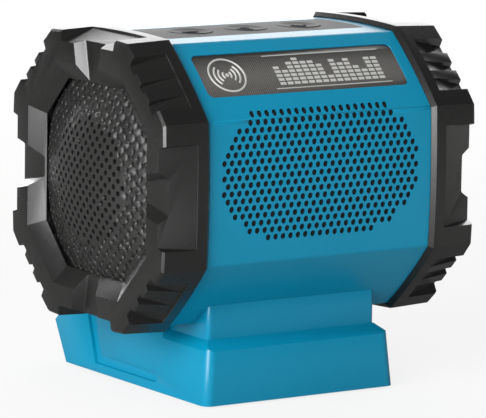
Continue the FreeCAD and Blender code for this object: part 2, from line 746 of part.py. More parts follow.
def bumper():
    """Right hand bumper: sleeve over the tube's end, bead, treaded ring and funnel."""
    bead_x = BUMPER_START + BUMPER_BEVEL
    fall_x = bead_x + BEAD_WIDTH
    edge_x = BUMPER_FACE - BUMPER_EDGE
    start = octagon_face(BUMPER_START, BARREL_HALF + BUMPER_LEAD, BARREL_FLAT_HALF, FACE_CROWN)
    crest = bumper_prism(bead_x, fall_x)
    lead = taper(start, bumper_face(bead_x))
    body = taper(bumper_face(fall_x), bumper_face(edge_x, BEAD_STEP))
    rim = taper(bumper_face(edge_x, BEAD_STEP), bumper_face(BUMPER_FACE, BEAD_STEP + BUMPER_EDGE))
    solid = join([lead, crest, body, rim])
    sleeve = octagon_prism(BUMPER_START - 1, SHELL_HALF + FIT, -FIT)
    snap = barrel_layer(SNAP_X, SNAP_X + SNAP_WIDTH, -1.0, SNAP_DEPTH)
    sleeve = sleeve.cut(snap)
    bore = rod(GRILLE_R + FIT, Vector(SHELL_HALF - 1, 0, 0), Vector(LIP_X, 0, 0))
    flange_seat = rod(GRILLE_FLANGE_R + FIT, Vector(SHELL_HALF - 1, 0, 0),
                      Vector(SHELL_HALF + GRILLE_FLANGE + FIT, 0, 0))
    pocket = octagon_face(SHELL_HALF - 1, POCKET_HALF, POCKET_HALF / 2, 0.0).extrude(
        Vector(POCKET_DEPTH + 1, 0, 0))
    pocket = pocket.cut(rod(POCKET_R, Vector(SHELL_HALF - 2, 0, 0), Vector(BUMPER_FACE, 0, 0)))
    solid = solid.cut([sleeve, bore, flange_seat, pocket] + funnel())
    return solid.cut(bumper_cuts()).removeSplitter()


# Domed grille

def lattice(pitch, inner_r, outer_r):
    """Square pattern turned by 45 degrees, as places across the barrel."""
    step = pitch * ROOT_HALF
    reach = int(outer_r / step) + 1
    places = []
    for i in range(-reach, reach + 1):
        for j in range(-reach, reach + 1):
            if (i + j) % 2:
                continue
            distance = math.hypot(i, j) * step
            if inner_r <= distance <= outer_r:
                places.append((i * step, j * step))
    return places


def grille():
    apex = GRILLE_EDGE_X + GRILLE_RISE
    centre = Vector(DOME_CENTRE_X, 0, 0)
    slab = rod(GRILLE_R, Vector(GRILLE_EDGE_X - GRILLE_WALL, 0, 0), Vector(apex + 1, 0, 0))
    ball = Part.makeSphere(DOME_R, centre, Z_AXIS)
    core = Part.makeSphere(DOME_R - GRILLE_WALL, centre, Z_AXIS)
    dome = slab.common(ball).cut(core)
    inner_r = GRILLE_R - GRILLE_WALL
    skirt = ring(GRILLE_R, inner_r, Vector(SHELL_HALF, 0, 0), Vector(GRILLE_EDGE_X, 0, 0))
    flange = ring(GRILLE_FLANGE_R, inner_r, Vector(SHELL_HALF, 0, 0), Vector(SHELL_HALF + GRILLE_FLANGE, 0, 0))
    shell = join([dome, skirt, flange])
    pins = []
    for y, z in lattice(HOLE_PITCH, 0.0, THROUGH_FIELD_R):
        pins.append(rod(GRILLE_HOLE_R, Vector(GRILLE_EDGE_X, y, z), Vector(apex + 1, y, z)))
    for y, z in lattice(HOLE_PITCH, THROUGH_FIELD_R + 0.5, DIMPLE_FIELD_R):
        surface = dome_x(math.hypot(y, z))
        pins.append(rod(DIMPLE_R, Vector(surface - DIMPLE_DEPTH, y, z), Vector(apex + 1, y, z)))
    return shell.cut(pins)


# End plate and driver

def end_plate():
    plate_x = SHELL_HALF - PLATE_T
    plate = octagon_prism(plate_x, SHELL_HALF, BARREL_WALL - PLATE_REBATE + FIT)
    cuts = [rod(DRIVER_BORE_R, Vector(plate_x - 1, 0, 0), Vector(SHELL_HALF + 1, 0, 0))]
    for y, z in plate_boss_places():
        seat = Vector(SHELL_HALF - HEAD_H, y, z)
        cuts.append(rod(SCREW_R + FIT, Vector(plate_x, y, z), seat))
        cuts.append(rod(HEAD_R + FIT, seat, Vector(SHELL_HALF, y, z)))
    for y, z in driver_screw_places():
        cuts.append(rod(SMALL_SCREW_R, Vector(plate_x, y, z), Vector(SHELL_HALF, y, z)))
    return plate.cut(cuts)


def end_plate_screws():
    screws = []
    for y, z in plate_boss_places():
        seat = Vector(SHELL_HALF - HEAD_H, y, z)
        screws.append(screw(seat, X_AXIS * -1, SCREW_GRIP + PLATE_T - HEAD_H - 1, SCREW_R, HEAD_R, HEAD_H))
    return group(screws)


def driver_screw_places():
    offset = DRIVER_SCREW_R * ROOT_HALF
    return [(sy * offset, sz * offset) for sy in (-1, 1) for sz in (-1, 1)]


def driver_screws():
    screws = []
    for y, z in driver_screw_places():
        seat = Vector(SHELL_HALF + DRIVER_FLANGE, y, z)
        screws.append(screw(seat, X_AXIS * -1, DRIVER_FLANGE + PLATE_T, SMALL_SCREW_R, SMALL_HEAD_R, SMALL_HEAD_H))
    return group(screws)


def revolve(points):
    """Turn a closed outline of (distance out from the end plate, radius) about the barrel's axis."""
    outline = [Vector(SHELL_HALF + u, r, 0) for u, r in points]
    face = Part.Face(Part.makePolygon(outline + [outline[0]]))
    return face.revolve(ORIGIN, X_AXIS, 360)


def driver_frame():
    frame = revolve([(0, DRIVER_R), (DRIVER_FLANGE, DRIVER_R), (DRIVER_FLANGE, SURROUND_R),
                     (0, SURROUND_R), (0, DRIVER_BORE_R - FIT - BASKET_WALL),
                     (-BASKET_DEPTH + BASKET_WALL, BASKET_SEAT_R), (-BASKET_DEPTH + BASKET_WALL, COIL_R + 3),
                     (-BASKET_DEPTH, COIL_R + 3), (-BASKET_DEPTH, BASKET_SEAT_R + BASKET_WALL),
                     (-PLATE_T, DRIVER_BORE_R - FIT), (0, DRIVER_BORE_R - FIT)])
    cuts = []
    for quarter in range(4):
        window = box(SHELL_HALF - BASKET_DEPTH + 3, SHELL_HALF - PLATE_T - 1, -7, 7, BASKET_SEAT_R, DRIVER_BORE_R)
        cuts.append(turned(window, 2 * quarter))
    for y, z in driver_screw_places():
        cuts.append(rod(SMALL_SCREW_R, Vector(SHELL_HALF, y, z), Vector(SHELL_HALF + DRIVER_FLANGE, y, z)))
    return frame.cut(cuts)


def driver_magnet():
    back = -BASKET_DEPTH - MAGNET_T
    inner = COIL_R - 1.0
    outer = COIL_R + COIL_WALL + 1.0
    gap_floor = back + 3.0
    return revolve([(-BASKET_DEPTH, outer), (-BASKET_DEPTH, MAGNET_R), (back, MAGNET_R), (back, 0),
                    (-BASKET_DEPTH, 0), (-BASKET_DEPTH, inner), (gap_floor, inner), (gap_floor, outer)])


CONE_NECK = -9.0
CONE_MOUTH = CONE_WALL


def driver_cone():
    coil_back = -BASKET_DEPTH - MAGNET_T + 5.0
    wall = COIL_R + COIL_WALL
    return revolve([(coil_back, COIL_R), (CONE_NECK + 1, COIL_R), (CONE_NECK + 1, wall),
                    (CONE_MOUTH, CONE_R), (CONE_MOUTH - CONE_WALL, CONE_R),
                    (CONE_NECK, wall + 0.4), (CONE_NECK, wall), (coil_back, wall)])


def driver_surround():
    """Half round rubber roll between the cone's edge and the frame."""
    middle = (CONE_R + SURROUND_R) / 2
    points = []
    steps = 8
    for k in range(steps + 1):
        angle = math.pi * k / steps
        points.append((CONE_MOUTH + ROLL_R * math.sin(angle), middle + ROLL_R * math.cos(angle)))
    inner = [(u - CONE_WALL, r) for u, r in reversed(points)]
    outer_lip = [(CONE_MOUTH - CONE_WALL, SURROUND_R), (CONE_MOUTH, SURROUND_R)]
    inner_lip = [(CONE_MOUTH, CONE_R), (CONE_MOUTH - CONE_WALL, CONE_R)]
    return revolve(points + inner_lip + inner + outer_lip)


def driver_dust_cap():
    radius = COIL_R + COIL_WALL + 1.6
    rise = 3.4
    ball_r = (radius ** 2 + rise ** 2) / (2 * rise)
    base_x = SHELL_HALF + CONE_NECK + 2.2
    centre = Vector(base_x + rise - ball_r, 0, 0)
    cap = Part.makeSphere(ball_r, centre, Z_AXIS).cut(Part.makeSphere(ball_r - 0.5, centre, Z_AXIS))
    return cap.common(rod(radius, Vector(base_x, 0, 0), Vector(base_x + 2 * rise, 0, 0)))


# Control panel

def button_places():
    return [-BUTTON_SPACING, 0.0, BUTTON_SPACING]


def top_panel():
    panel = panel_outline(FIT, PANEL_FLOOR, BARREL_HALF + 2 * FACE_CROWN)
    panel = panel.common(octagon_prism(-SHELL_HALF, SHELL_HALF))
    holes = []
    for x in button_places():
        holes.append(rod(BUTTON_R + RUN, Vector(x, 0, PANEL_FLOOR), Vector(x, 0, BARREL_HALF + 3)))
    return panel.cut(holes)


def button(mark_bars, ring_mark):
    """Dished cap on a flange that lies under the panel, with a raised mark."""
    top = barrel_top_z(0) + BUTTON_PROUD
    cap = rod(BUTTON_R, Vector(0, 0, PANEL_FLOOR - RUN), Vector(0, 0, top))
    flange_top = PANEL_FLOOR - RUN
    flange = rod(BUTTON_FLANGE_R, Vector(0, 0, BUTTON_UNDER), Vector(0, 0, flange_top))
    cap = cap.fuse(flange)
    rim_r = BUTTON_R - 0.9
    ball_r = (rim_r ** 2 + BUTTON_DISH ** 2) / (2 * BUTTON_DISH)
    bowl = Part.makeSphere(ball_r, Vector(0, 0, top - BUTTON_DISH + ball_r), Z_AXIS)
    cap = cap.cut(bowl)
    mark_low = top - BUTTON_DISH - 0.3
    mark_top = top - BUTTON_DISH + MARK_H
    raised = []
    for long_x, long_y in mark_bars:
        raised.append(box(-long_x, long_x, -long_y, long_y, mark_low, mark_top))
    if ring_mark:
        raised.append(ring(MARK_HALF, MARK_HALF - MARK_W, Vector(0, 0, mark_low), Vector(0, 0, mark_top)))
    return join([cap] + raised)


def key_board():
    z1 = KEY_BOARD_TOP
    board = box(-KEY_BOARD_HALF_X, KEY_BOARD_HALF_X, -KEY_BOARD_HALF_Y - 7, KEY_BOARD_HALF_Y + 7,
                z1 - BOARD_T, z1)
    holes = [rod(SMALL_SCREW_R, Vector(x, y, z1 - BOARD_T), Vector(x, y, z1)) for x, y in key_screw_places()]
    return board.cut(holes)


def key_switches():
    switches = []
    for x in button_places():
        half = SWITCH_SIDE / 2
        body = box(x - half, x + half, -half, half, KEY_BOARD_TOP, KEY_BOARD_TOP + SWITCH_H)
        top = KEY_BOARD_TOP + SWITCH_H + PLUNGER_H
        plunger = rod(PLUNGER_R, Vector(x, 0, KEY_BOARD_TOP + SWITCH_H - 1), Vector(x, 0, top))
        switches.append(body.fuse(plunger).removeSplitter())
    return group(switches)


def key_board_screws():
    screws = []
    for x, y in key_screw_places():
        seat = Vector(x, y, KEY_BOARD_TOP - BOARD_T)
        screws.append(screw(seat, Z_AXIS, BOARD_T + 4.0, SMALL_SCREW_R, SMALL_HEAD_R, SMALL_HEAD_H))
    return group(screws)


# Passive radiator

RADIATOR_SEAT_Y = -BARREL_HALF + BARREL_WALL + CLOTH_T + 0.6


def acoustic_cloth():
    inset = FIELD_SKIN + CLOTH_GAP
    skin = barrel_layer(-CLOTH_HALF_X, CLOTH_HALF_X, inset, inset + CLOTH_T)
    patch = box(-CLOTH_HALF_X, CLOTH_HALF_X, -2 * BARREL_HALF, -BARREL_FLAT_HALF, CLOTH_BOTTOM, CLOTH_TOP)
    posts = []
    for x, z in radiator_screw_places():
        posts.append(rod(RADIATOR_POST_R + FIT, Vector(x, -BARREL_HALF, z), Vector(x, RADIATOR_SEAT_Y, z)))
    return skin.common(patch).cut(posts)


def racetrack(half_x, half_z, y0, y1):
    """Slab with fully rounded ends, upright behind the front wall."""
    z0 = RADIATOR_CENTRE_Z - half_z
    z1 = RADIATOR_CENTRE_Z + half_z
    slab = box(-half_x, half_x, y0, y1, z0, z1)
    return round_edges(slab, half_z * 0.98, Y_AXIS)


def radiator_frame():
    y0 = RADIATOR_SEAT_Y
    y1 = y0 + RADIATOR_T
    plate = box(-RADIATOR_HALF_X, RADIATOR_HALF_X, y0, y1,
                RADIATOR_CENTRE_Z - RADIATOR_HALF_Z, RADIATOR_CENTRE_Z + RADIATOR_HALF_Z)
    cuts = [racetrack(RADIATOR_HALF_X - RADIATOR_RING, RADIATOR_HALF_Z - RADIATOR_RING + 3, y0, y1)]
    for x, z in radiator_screw_places():
        cuts.append(rod(SMALL_SCREW_R, Vector(x, y0, z), Vector(x, y1, z)))
    return plate.cut(cuts)


def radiator_roll():
    """Rubber surround of the passive radiator, seated in the frame's opening."""
    half_x = RADIATOR_HALF_X - RADIATOR_RING
    half_z = RADIATOR_HALF_Z - RADIATOR_RING + 3
    y0 = RADIATOR_SEAT_Y + 1.2
    outer = racetrack(half_x, half_z, y0, y0 + 2.4)
    inner = racetrack(half_x - RADIATOR_ROLL, half_z - RADIATOR_ROLL, y0, y0 + 2.4)
    return outer.cut(inner)


def radiator_diaphragm():
    half_x = RADIATOR_HALF_X - RADIATOR_RING - RADIATOR_ROLL
    half_z = RADIATOR_HALF_Z - RADIATOR_RING + 3 - RADIATOR_ROLL
    y0 = RADIATOR_SEAT_Y + 1.7
    plate = racetrack(half_x, half_z, y0, y0 + DIAPHRAGM_T)
    weight = racetrack(half_x * 0.5, half_z * 0.6, y0 + DIAPHRAGM_T, y0 + DIAPHRAGM_T + 2.5)
    return join([plate, weight])


def radiator_screws():
    screws = []
    for x, z in radiator_screw_places():
        seat = Vector(x, RADIATOR_SEAT_Y + RADIATOR_T, z)
        screws.append(screw(seat, Y_AXIS * -1, RADIATOR_T + 3.0, SMALL_SCREW_R, SMALL_HEAD_R, SMALL_HEAD_H))
    return group(screws)


# Electronics

BOARD_TOP = BOARD_UNDER + BOARD_T


def main_board():
    board = box(-BOARD_HALF_X, BOARD_HALF_X, BOARD_Y0, BOARD_Y1, BOARD_UNDER, BOARD_TOP)
    holes = [rod(SMALL_SCREW_R, Vector(x, y, BOARD_UNDER), Vector(x, y, BOARD_TOP)) for x, y in board_post_places()]
    return board.cut(holes)


def main_board_screws():
    screws = []
    for x, y in board_post_places():
        seat = Vector(x, y, BOARD_TOP)
        screws.append(screw(seat, Z_AXIS * -1, BOARD_T + 5.0, SMALL_SCREW_R, SMALL_HEAD_R, SMALL_HEAD_H))
    return group(screws)


def heat_sink():
    x0 = -SINK_W / 2
    y0 = BOARD_Y1 - SINK_D - 3
    base = box(x0, x0 + SINK_W, y0, y0 + SINK_D, BOARD_TOP, BOARD_TOP + 3)
    pitch = (SINK_W - 2.0) / (FIN_COUNT - 1)
    fins = []
    for k in range(FIN_COUNT):
        fins.append(box(x0 + k * pitch, x0 + k * pitch + 2.0, y0, y0 + SINK_D, BOARD_TOP, BOARD_TOP + SINK_H))
    return join([base] + fins)


def capacitors():
    cans = []
    for k in range(CAN_COUNT):
        x = -BOARD_HALF_X + 18 + k * (2 * CAN_R + 2.5)
        y = BOARD_Y0 + 12
        cans.append(rod(CAN_R, Vector(x, y, BOARD_TOP), Vector(x, y, BOARD_TOP + CAN_H)))
    return group(cans)


def signal_module():
    """Small shielded wireless module on the main board."""
    return box(BOARD_HALF_X - 26, BOARD_HALF_X - 10, BOARD_Y0 + 6, BOARD_Y0 + 18, BOARD_TOP, BOARD_TOP + 2.6)


def port_board():
    half_x = PORT_HALF_X
    board = box(-half_x, half_x, PORT_BOARD_Y - BOARD_T, PORT_BOARD_Y, PORT_Z - 8, PORT_Z + 8)
    holes = []
    for x, z in port_screw_places():
        holes.append(rod(SMALL_SCREW_R, Vector(x, PORT_BOARD_Y - BOARD_T, z), Vector(x, PORT_BOARD_Y, z)))
    return board.cut(holes)


def port_board_screws():
    screws = []
    for x, z in port_screw_places():
        seat = Vector(x, PORT_BOARD_Y - BOARD_T, z)
        screws.append(screw(seat, Y_AXIS, BOARD_T + 6.0, SMALL_SCREW_R, SMALL_HEAD_R, SMALL_HEAD_H))
    return group(screws)


def audio_socket():
    start = Vector(JACK_X, PORT_BOARD_Y, PORT_Z)
    end = Vector(JACK_X, PORT_FLOOR, PORT_Z)
    return rod(JACK_R, start, end).cut(rod(JACK_BORE_R, start + Y_AXIS * 1.5, end))


def power_socket():
    """Charging outlet: a metal shell with a contact tongue inside."""
    shell = box(USB_X - USB_W / 2, USB_X + USB_W / 2, PORT_BOARD_Y, PORT_FLOOR,
                PORT_Z - USB_H / 2, PORT_Z + USB_H / 2)
    wall = 0.5
    hollow = box(USB_X - USB_W / 2 + wall, USB_X + USB_W / 2 - wall, PORT_BOARD_Y + 1.5, PORT_FLOOR,
                 PORT_Z - USB_H / 2 + wall, PORT_Z + USB_H / 2 - wall)
    tongue = box(USB_X - USB_W / 2 + 1.2, USB_X + USB_W / 2 - 1.2, PORT_BOARD_Y + 1.0, PORT_FLOOR - 1.0,
                 PORT_Z + 0.2, PORT_Z + 1.8)
    return join([shell.cut(hollow), tongue])


def port_cover():
    """Cover that swings down about a pin along its lower edge."""
    z0 = HINGE_Z
    z1 = PORT_Z + PORT_HALF_Z - RUN
    half_x = PORT_HALF_X - RUN
    inner_y = PORT_FLOOR + RUN
    outer = octagon_prism(-SHELL_HALF, SHELL_HALF)
    plate = box(-half_x, half_x, inner_y, BARREL_HALF + 3, z0 + 2.8, z1).common(outer)
    plate = plate.common(box(-half_x, half_x, inner_y, inner_y + COVER_T + 1.2, z0, z1))
    web = box(-half_x, half_x, HINGE_Y - KNUCKLE_R, HINGE_Y + KNUCKLE_R * 0.7, z0, z0 + 3.2)
    knuckle = rod(KNUCKLE_R, Vector(-half_x, HINGE_Y, z0), Vector(half_x, HINGE_Y, z0))
    body = join([plate, web, knuckle])
    finger_dent = box(-6, 6, inner_y + COVER_T * 0.6, BARREL_HALF + 3, z1 - 2.4, z1)
    bore = rod(PIN_R + PIN_RUN, Vector(-half_x, HINGE_Y, z0), Vector(half_x, HINGE_Y, z0))
    return body.cut([finger_dent, bore])


def port_cover_pin():
    reach = PORT_HALF_X + PIN_GRIP
    return rod(PIN_R, Vector(-reach, HINGE_Y, HINGE_Z), Vector(reach, HINGE_Y, HINGE_Z))


# Neck

def neck():
    block = box(-NECK_HALF_X, NECK_HALF_X, -NECK_HALF_Y, NECK_HALF_Y, DOCK_DECK, -BARREL_FLAT_HALF)
    block = round_edges(block, NECK_EDGE_R, Z_AXIS)
    cradle = octagon_prism(-SHELL_HALF, SHELL_HALF, -0.05, BARREL_EDGE_R)
    inner = box(-NECK_HALF_X + NECK_WALL, NECK_HALF_X - NECK_WALL, -NECK_HALF_Y + NECK_WALL,
                NECK_HALF_Y - NECK_WALL, DOCK_DECK - 1, -BARREL_FLAT_HALF)
    inner = inner.cut(octagon_prism(-SHELL_HALF, SHELL_HALF, -0.05 - NECK_WALL))
    tall = octagon_prism(-SHELL_HALF, SHELL_HALF)
    body = block.cut([cradle, inner, tall])
    low = box(-NECK_HALF_X, NECK_HALF_X, -NECK_HALF_Y, NECK_HALF_Y, DOCK_DECK, -BARREL_FLAT_HALF - 8)
    body = body.common(low)
    pads = []
    holes = []
    for x, y in neck_screw_places():
        pads.append(rod(BOSS_R + 1.5, Vector(x, y, NECK_SEAT_Z), Vector(x, y, -BARREL_HALF)).cut(tall).cut(cradle))
        holes.append(rod(SCREW_R + FIT, Vector(x, y, NECK_SEAT_Z - 1), Vector(x, y, -BARREL_HALF)))
    for x, y in deck_screw_places():
        pads.append(rod(BOSS_R, Vector(x, y, DOCK_DECK), Vector(x, y, DOCK_DECK + 9)).cut(tall).cut(cradle))
        holes.append(rod(SCREW_R, Vector(x, y, DOCK_DECK), Vector(x, y, DOCK_DECK + 8)))
    return join([body] + pads).cut(holes)


NECK_SEAT_Z = DOCK_DECK + HEAD_H + 0.5


def neck_screws():
    screws = []
    for x, y in neck_screw_places():
        length = NECK_POST_TOP - 1 - NECK_SEAT_Z
        screws.append(screw(Vector(x, y, NECK_SEAT_Z), Z_AXIS, length, SCREW_R, HEAD_R, HEAD_H))
    return group(screws)


def deck_screw_places():
    return [(sx * 46.0, sy * 43.0) for sx in (-1, 1) for sy in (-1, 1)]


def deck_screws():
    screws = []
    for x, y in deck_screw_places():
        seat = Vector(x, y, DOCK_UNDER_DECK)
        screws.append(screw(seat, Z_AXIS, DOCK_WALL + 8, SCREW_R, HEAD_R, HEAD_H))
    return group(screws)


# Dock

def dock_rear_y(z):
    """Rear face of the dock at a height: it leans back up to its widest level, then comes in."""
    if z <= DOCK_REAR_REACH_Z:
        share = (z - DOCK_BOTTOM) / (DOCK_REAR_REACH_Z - DOCK_BOTTOM)
        return DOCK_REAR + (DOCK_REAR_REACH - DOCK_REAR) * share
    return DOCK_REAR_REACH - (z - DOCK_REAR_REACH_Z)


def side_profile(inset_front, inset_rear, z0, z1, front_low, front_high):
    """Outline of the dock seen from the side, as (y, z) points."""
    rear_inset = inset_rear
    points = [(front_low + inset_front, z0), (dock_rear_y(z0) - rear_inset * 1.2, z0)]
    if z0 < DOCK_REAR_REACH_Z < z1:
        points.append((DOCK_REAR_REACH - rear_inset * 1.25, DOCK_REAR_REACH_Z))
    points += [(dock_rear_y(z1) - rear_inset * 1.4, z1), (front_high + inset_front, z1)]
    return points


def drafted_sides(inset):
    """Wide wedge between the two leaning side walls."""
    lean = (DOCK_HALF_X - LEDGE_HALF_X) / (DOCK_LEDGE - DOCK_BOTTOM)
    low_z = DOCK_BOTTOM - 5.0
    high_z = DOCK_DECK + 5.0
    low = DOCK_HALF_X + 5.0 * lean - inset
    high = DOCK_HALF_X - (high_z - DOCK_BOTTOM) * lean - inset
    y0 = DOCK_FRONT - 20
    y1 = DOCK_REAR_REACH + 20
    return hexahedron([Vector(-low, y0, low_z), Vector(low, y0, low_z), Vector(low, y1, low_z), Vector(-low, y1, low_z)],
                      [Vector(-high, y0, high_z), Vector(high, y0, high_z), Vector(high, y1, high_z),
                       Vector(-high, y1, high_z)])


def dock_block(inset, z0, z1):
    front_lean = (LEDGE_FRONT - DOCK_FRONT) / (DOCK_LEDGE - DOCK_BOTTOM)
    low = DOCK_FRONT + front_lean * (z0 - DOCK_BOTTOM)
    high = DOCK_FRONT + front_lean * (z1 - DOCK_BOTTOM)
    points = side_profile(inset, inset, z0, z1, low, high)
    corners = [Vector(-DOCK_HALF_X - 10, y, z) for y, z in points]
    return extrude(corners, Vector(2 * DOCK_HALF_X + 20, 0, 0)).common(drafted_sides(inset))


def ledge_cut(drop):
    """What lies outside the sloping ledge around the neck, in front of the raised rear part."""
    z0 = DOCK_LEDGE - drop
    z1 = DOCK_BACK_TOP + 1.0
    over = 1.0 + drop
    low_x = LEDGE_HALF_X
    high_x = NECK_HALF_X
    low_y = LEDGE_FRONT
    high_y = -NECK_HALF_Y
    keep = hexahedron(
        [Vector(-low_x, low_y, z0), Vector(low_x, low_y, z0), Vector(low_x, LEDGE_END + 1, z0),
         Vector(-low_x, LEDGE_END + 1, z0)],
        [Vector(-high_x, high_y, DOCK_DECK - drop), Vector(high_x, high_y, DOCK_DECK - drop),
         Vector(high_x, LEDGE_END + 1, DOCK_DECK - drop), Vector(-high_x, LEDGE_END + 1, DOCK_DECK - drop)])
    space = box(-DOCK_HALF_X - 5, DOCK_HALF_X + 5, DOCK_FRONT - 5, LEDGE_END, z0, z1 + over)
    return space.cut(keep)


def side_groove():
    """L shaped channel in the left and right walls: an upright arm and a level arm."""
    lean = (DOCK_HALF_X - LEDGE_HALF_X) / (DOCK_LEDGE - DOCK_BOTTOM)
    outer = DOCK_HALF_X + 2.0
    floor_top = DOCK_HALF_X - lean * (DOCK_DECK - DOCK_BOTTOM) - GROOVE_DEPTH
    floor_low = DOCK_HALF_X - lean * (GROOVE_LOW_Z - DOCK_BOTTOM) - GROOVE_DEPTH
    low_z = GROOVE_LOW_Z - GROOVE_HALF_H
    top_z = DOCK_BACK_TOP + 1.0

    def slab(y0_low, y1_low, y0_top, y1_top, z_low, z_top):
        def floor(z):
            return floor_low + (floor_top - floor_low) * (z - GROOVE_LOW_Z) / (DOCK_DECK - GROOVE_LOW_Z)
        low = [Vector(floor(z_low), y0_low, z_low), Vector(outer, y0_low, z_low),
               Vector(outer, y1_low, z_low), Vector(floor(z_low), y1_low, z_low)]
        high = [Vector(floor(z_top), y0_top, z_top), Vector(outer, y0_top, z_top),
                Vector(outer, y1_top, z_top), Vector(floor(z_top), y1_top, z_top)]
        return hexahedron(low, high)
    upright = slab(GROOVE_KNEE_Y - GROOVE_HALF_V, GROOVE_KNEE_Y + GROOVE_HALF_V,
                   GROOVE_TOP_Y - GROOVE_HALF_V, GROOVE_TOP_Y + GROOVE_HALF_V, low_z, top_z)
    level = slab(GROOVE_END_Y, GROOVE_KNEE_Y + GROOVE_HALF_V, GROOVE_END_Y, GROOVE_KNEE_Y + GROOVE_HALF_V,
                 low_z, GROOVE_LOW_Z + GROOVE_HALF_H)
    end = rod(GROOVE_HALF_H, Vector(floor_low, GROOVE_END_Y, GROOVE_LOW_Z), Vector(outer, GROOVE_END_Y, GROOVE_LOW_Z))
    return join([upright, level, end])


def rails():
    """Ledges along the tunnel that the pack's head slides on."""
    z0 = PACK_SHOULDER + RUN
    z1 = PACK_NECK_TOP - RUN
    inner = PACK_NECK_HALF + RUN
    rail = box(inner, TUNNEL_HALF + 0.5, PACK_FRONT + 6, DOCK_REAR, z0, z1)
    hanger = box(PACK_HEAD_HALF + RUN, TUNNEL_HALF + 0.5, PACK_FRONT + 6, DOCK_REAR, z0, DOCK_UNDER_DECK + 0.5)
    return both_sides(join([rail, hanger]))


LATCH_RECESS_TOP = DOCK_UNDER_DECK + 1.7


def foot_places():
    return [(sx * FOOT_X, y) for sx in (-1, 1) for y in (FOOT_FRONT_Y, FOOT_REAR_Y)]


def base_screw_places():
    return [(sx * FOOT_X, y) for sx in (-1, 1) for y in (FOOT_FRONT_Y + 16, FOOT_REAR_Y - 16)]


def neck_recess():
    """Room in the dock's raised rear part that the neck stands in."""
    half_x = NECK_HALF_X + FIT
    return box(-half_x, half_x, LEDGE_END - 1, NECK_HALF_Y + FIT, DOCK_DECK, DOCK_BACK_TOP + 1)


def dock_housing():
    outer = dock_block(0.0, DOCK_BOTTOM, DOCK_BACK_TOP).cut([ledge_cut(0.0), neck_recess()])
    outer = round_edges(outer, DOCK_CORNER_R, Z_AXIS,
                        lambda p: p.y < LEDGE_FRONT + 1 and p.z < DOCK_LEDGE - 2)
    inner = dock_block(DOCK_WALL, DOCK_BOTTOM - 1, DOCK_UNDER_DECK).cut(ledge_cut(DOCK_WALL))
    tunnel_y0 = PACK_FRONT - 14.0
    core = box(-TUNNEL_HALF - TUNNEL_WALL, TUNNEL_HALF + TUNNEL_WALL, tunnel_y0 - TUNNEL_WALL,
               DOCK_REAR_REACH + 5, PLATE_TOP, DOCK_UNDER_DECK + 0.5)
    void = box(-TUNNEL_HALF, TUNNEL_HALF, tunnel_y0, DOCK_REAR_REACH + 10, DOCK_BOTTOM - 1, DOCK_UNDER_DECK)
    walls = core.cut(void).common(outer)
    shell = outer.cut(inner)
    posts = []
    pilots = []
    for x, y in base_screw_places():
        posts.append(rod(BOSS_R, Vector(x, y, PLATE_TOP), Vector(x, y, DOCK_UNDER_DECK + 0.5)).common(outer))
        pilots.append(rod(SCREW_R, Vector(x, y, PLATE_TOP), Vector(x, y, PLATE_TOP + SCREW_GRIP)))
    rail_pieces = [rail.common(outer) for rail in rails()]
    shell = join([shell, walls] + rail_pieces + posts)
    plate_space = dock_block(DOCK_WALL - 1.5, DOCK_BOTTOM - 1, PLATE_TOP)
    rear_mouth = box(-TUNNEL_HALF, TUNNEL_HALF, DOCK_REAR - 10, DOCK_REAR_REACH + 10,
                     DOCK_BOTTOM - 1, DOCK_UNDER_DECK).cut(rails_space())
    catch = box(-LATCH_HALF_X - 1, LATCH_HALF_X + 1, LATCH_Y, LATCH_Y + 6.5, DOCK_UNDER_DECK - 1, LATCH_RECESS_TOP)
    wire_way = rod(6.0, Vector(0, -36.0, DOCK_UNDER_DECK - 1), Vector(0, -36.0, DOCK_DECK + 1))
    cuts = [plate_space, rear_mouth, catch, wire_way] + pilots + both_sides(side_groove())
    for x, y in deck_screw_places():
        cuts.append(rod(SCREW_R + FIT, Vector(x, y, DOCK_UNDER_DECK - 1), Vector(x, y, DOCK_DECK + 1)))
    return shell.cut(cuts).removeSplitter()


def rails_space():
    z0 = PACK_SHOULDER
    return box(-TUNNEL_HALF - 1, TUNNEL_HALF + 1, PACK_FRONT, DOCK_REAR, z0, DOCK_DECK)


def base_plate():
    gap = DOCK_WALL - 1.5 + FIT
    plate = dock_block(gap, DOCK_BOTTOM, PLATE_TOP - FIT)
    cuts = []
    for x, y in foot_places():
        cuts.append(rod(FOOT_R, Vector(x, y, DOCK_BOTTOM), Vector(x, y, DOCK_BOTTOM + FOOT_H - FOOT_PROUD)))
    for x, y in base_screw_places():
        seat = Vector(x, y, DOCK_BOTTOM + BASE_SCREW_SINK)
        cuts.append(rod(HEAD_R + FIT, Vector(x, y, DOCK_BOTTOM), seat))
        cuts.append(rod(SCREW_R + FIT, seat, Vector(x, y, PLATE_TOP)))
    return plate.cut(cuts)


BASE_SCREW_SINK = 1.4


def base_screws():
    screws = []
    for x, y in base_screw_places():
        seat = Vector(x, y, DOCK_BOTTOM + BASE_SCREW_SINK)
        screws.append(screw(seat, Z_AXIS, SCREW_GRIP, SCREW_R, HEAD_R, BASE_SCREW_SINK - 0.1))
    return group(screws)


def rubber_feet():
    feet = []
    for x, y in foot_places():
        foot = rod(FOOT_R, Vector(x, y, DOCK_BOTTOM - FOOT_PROUD),
                   Vector(x, y, DOCK_BOTTOM + FOOT_H - FOOT_PROUD))
        feet.append(foot)
    return group(feet)


# Battery contacts

def blade_places():
    return [BLADE_SPACING * (k - 1.5) for k in range(4)]


BLOCK_Y0 = PACK_FRONT - 12.0
BLOCK_Y1 = PACK_FRONT - 2.0
BLADE_Z0 = PACK_SHOULDER + 0.9
BLADE_Z1 = PACK_TOP - 0.9


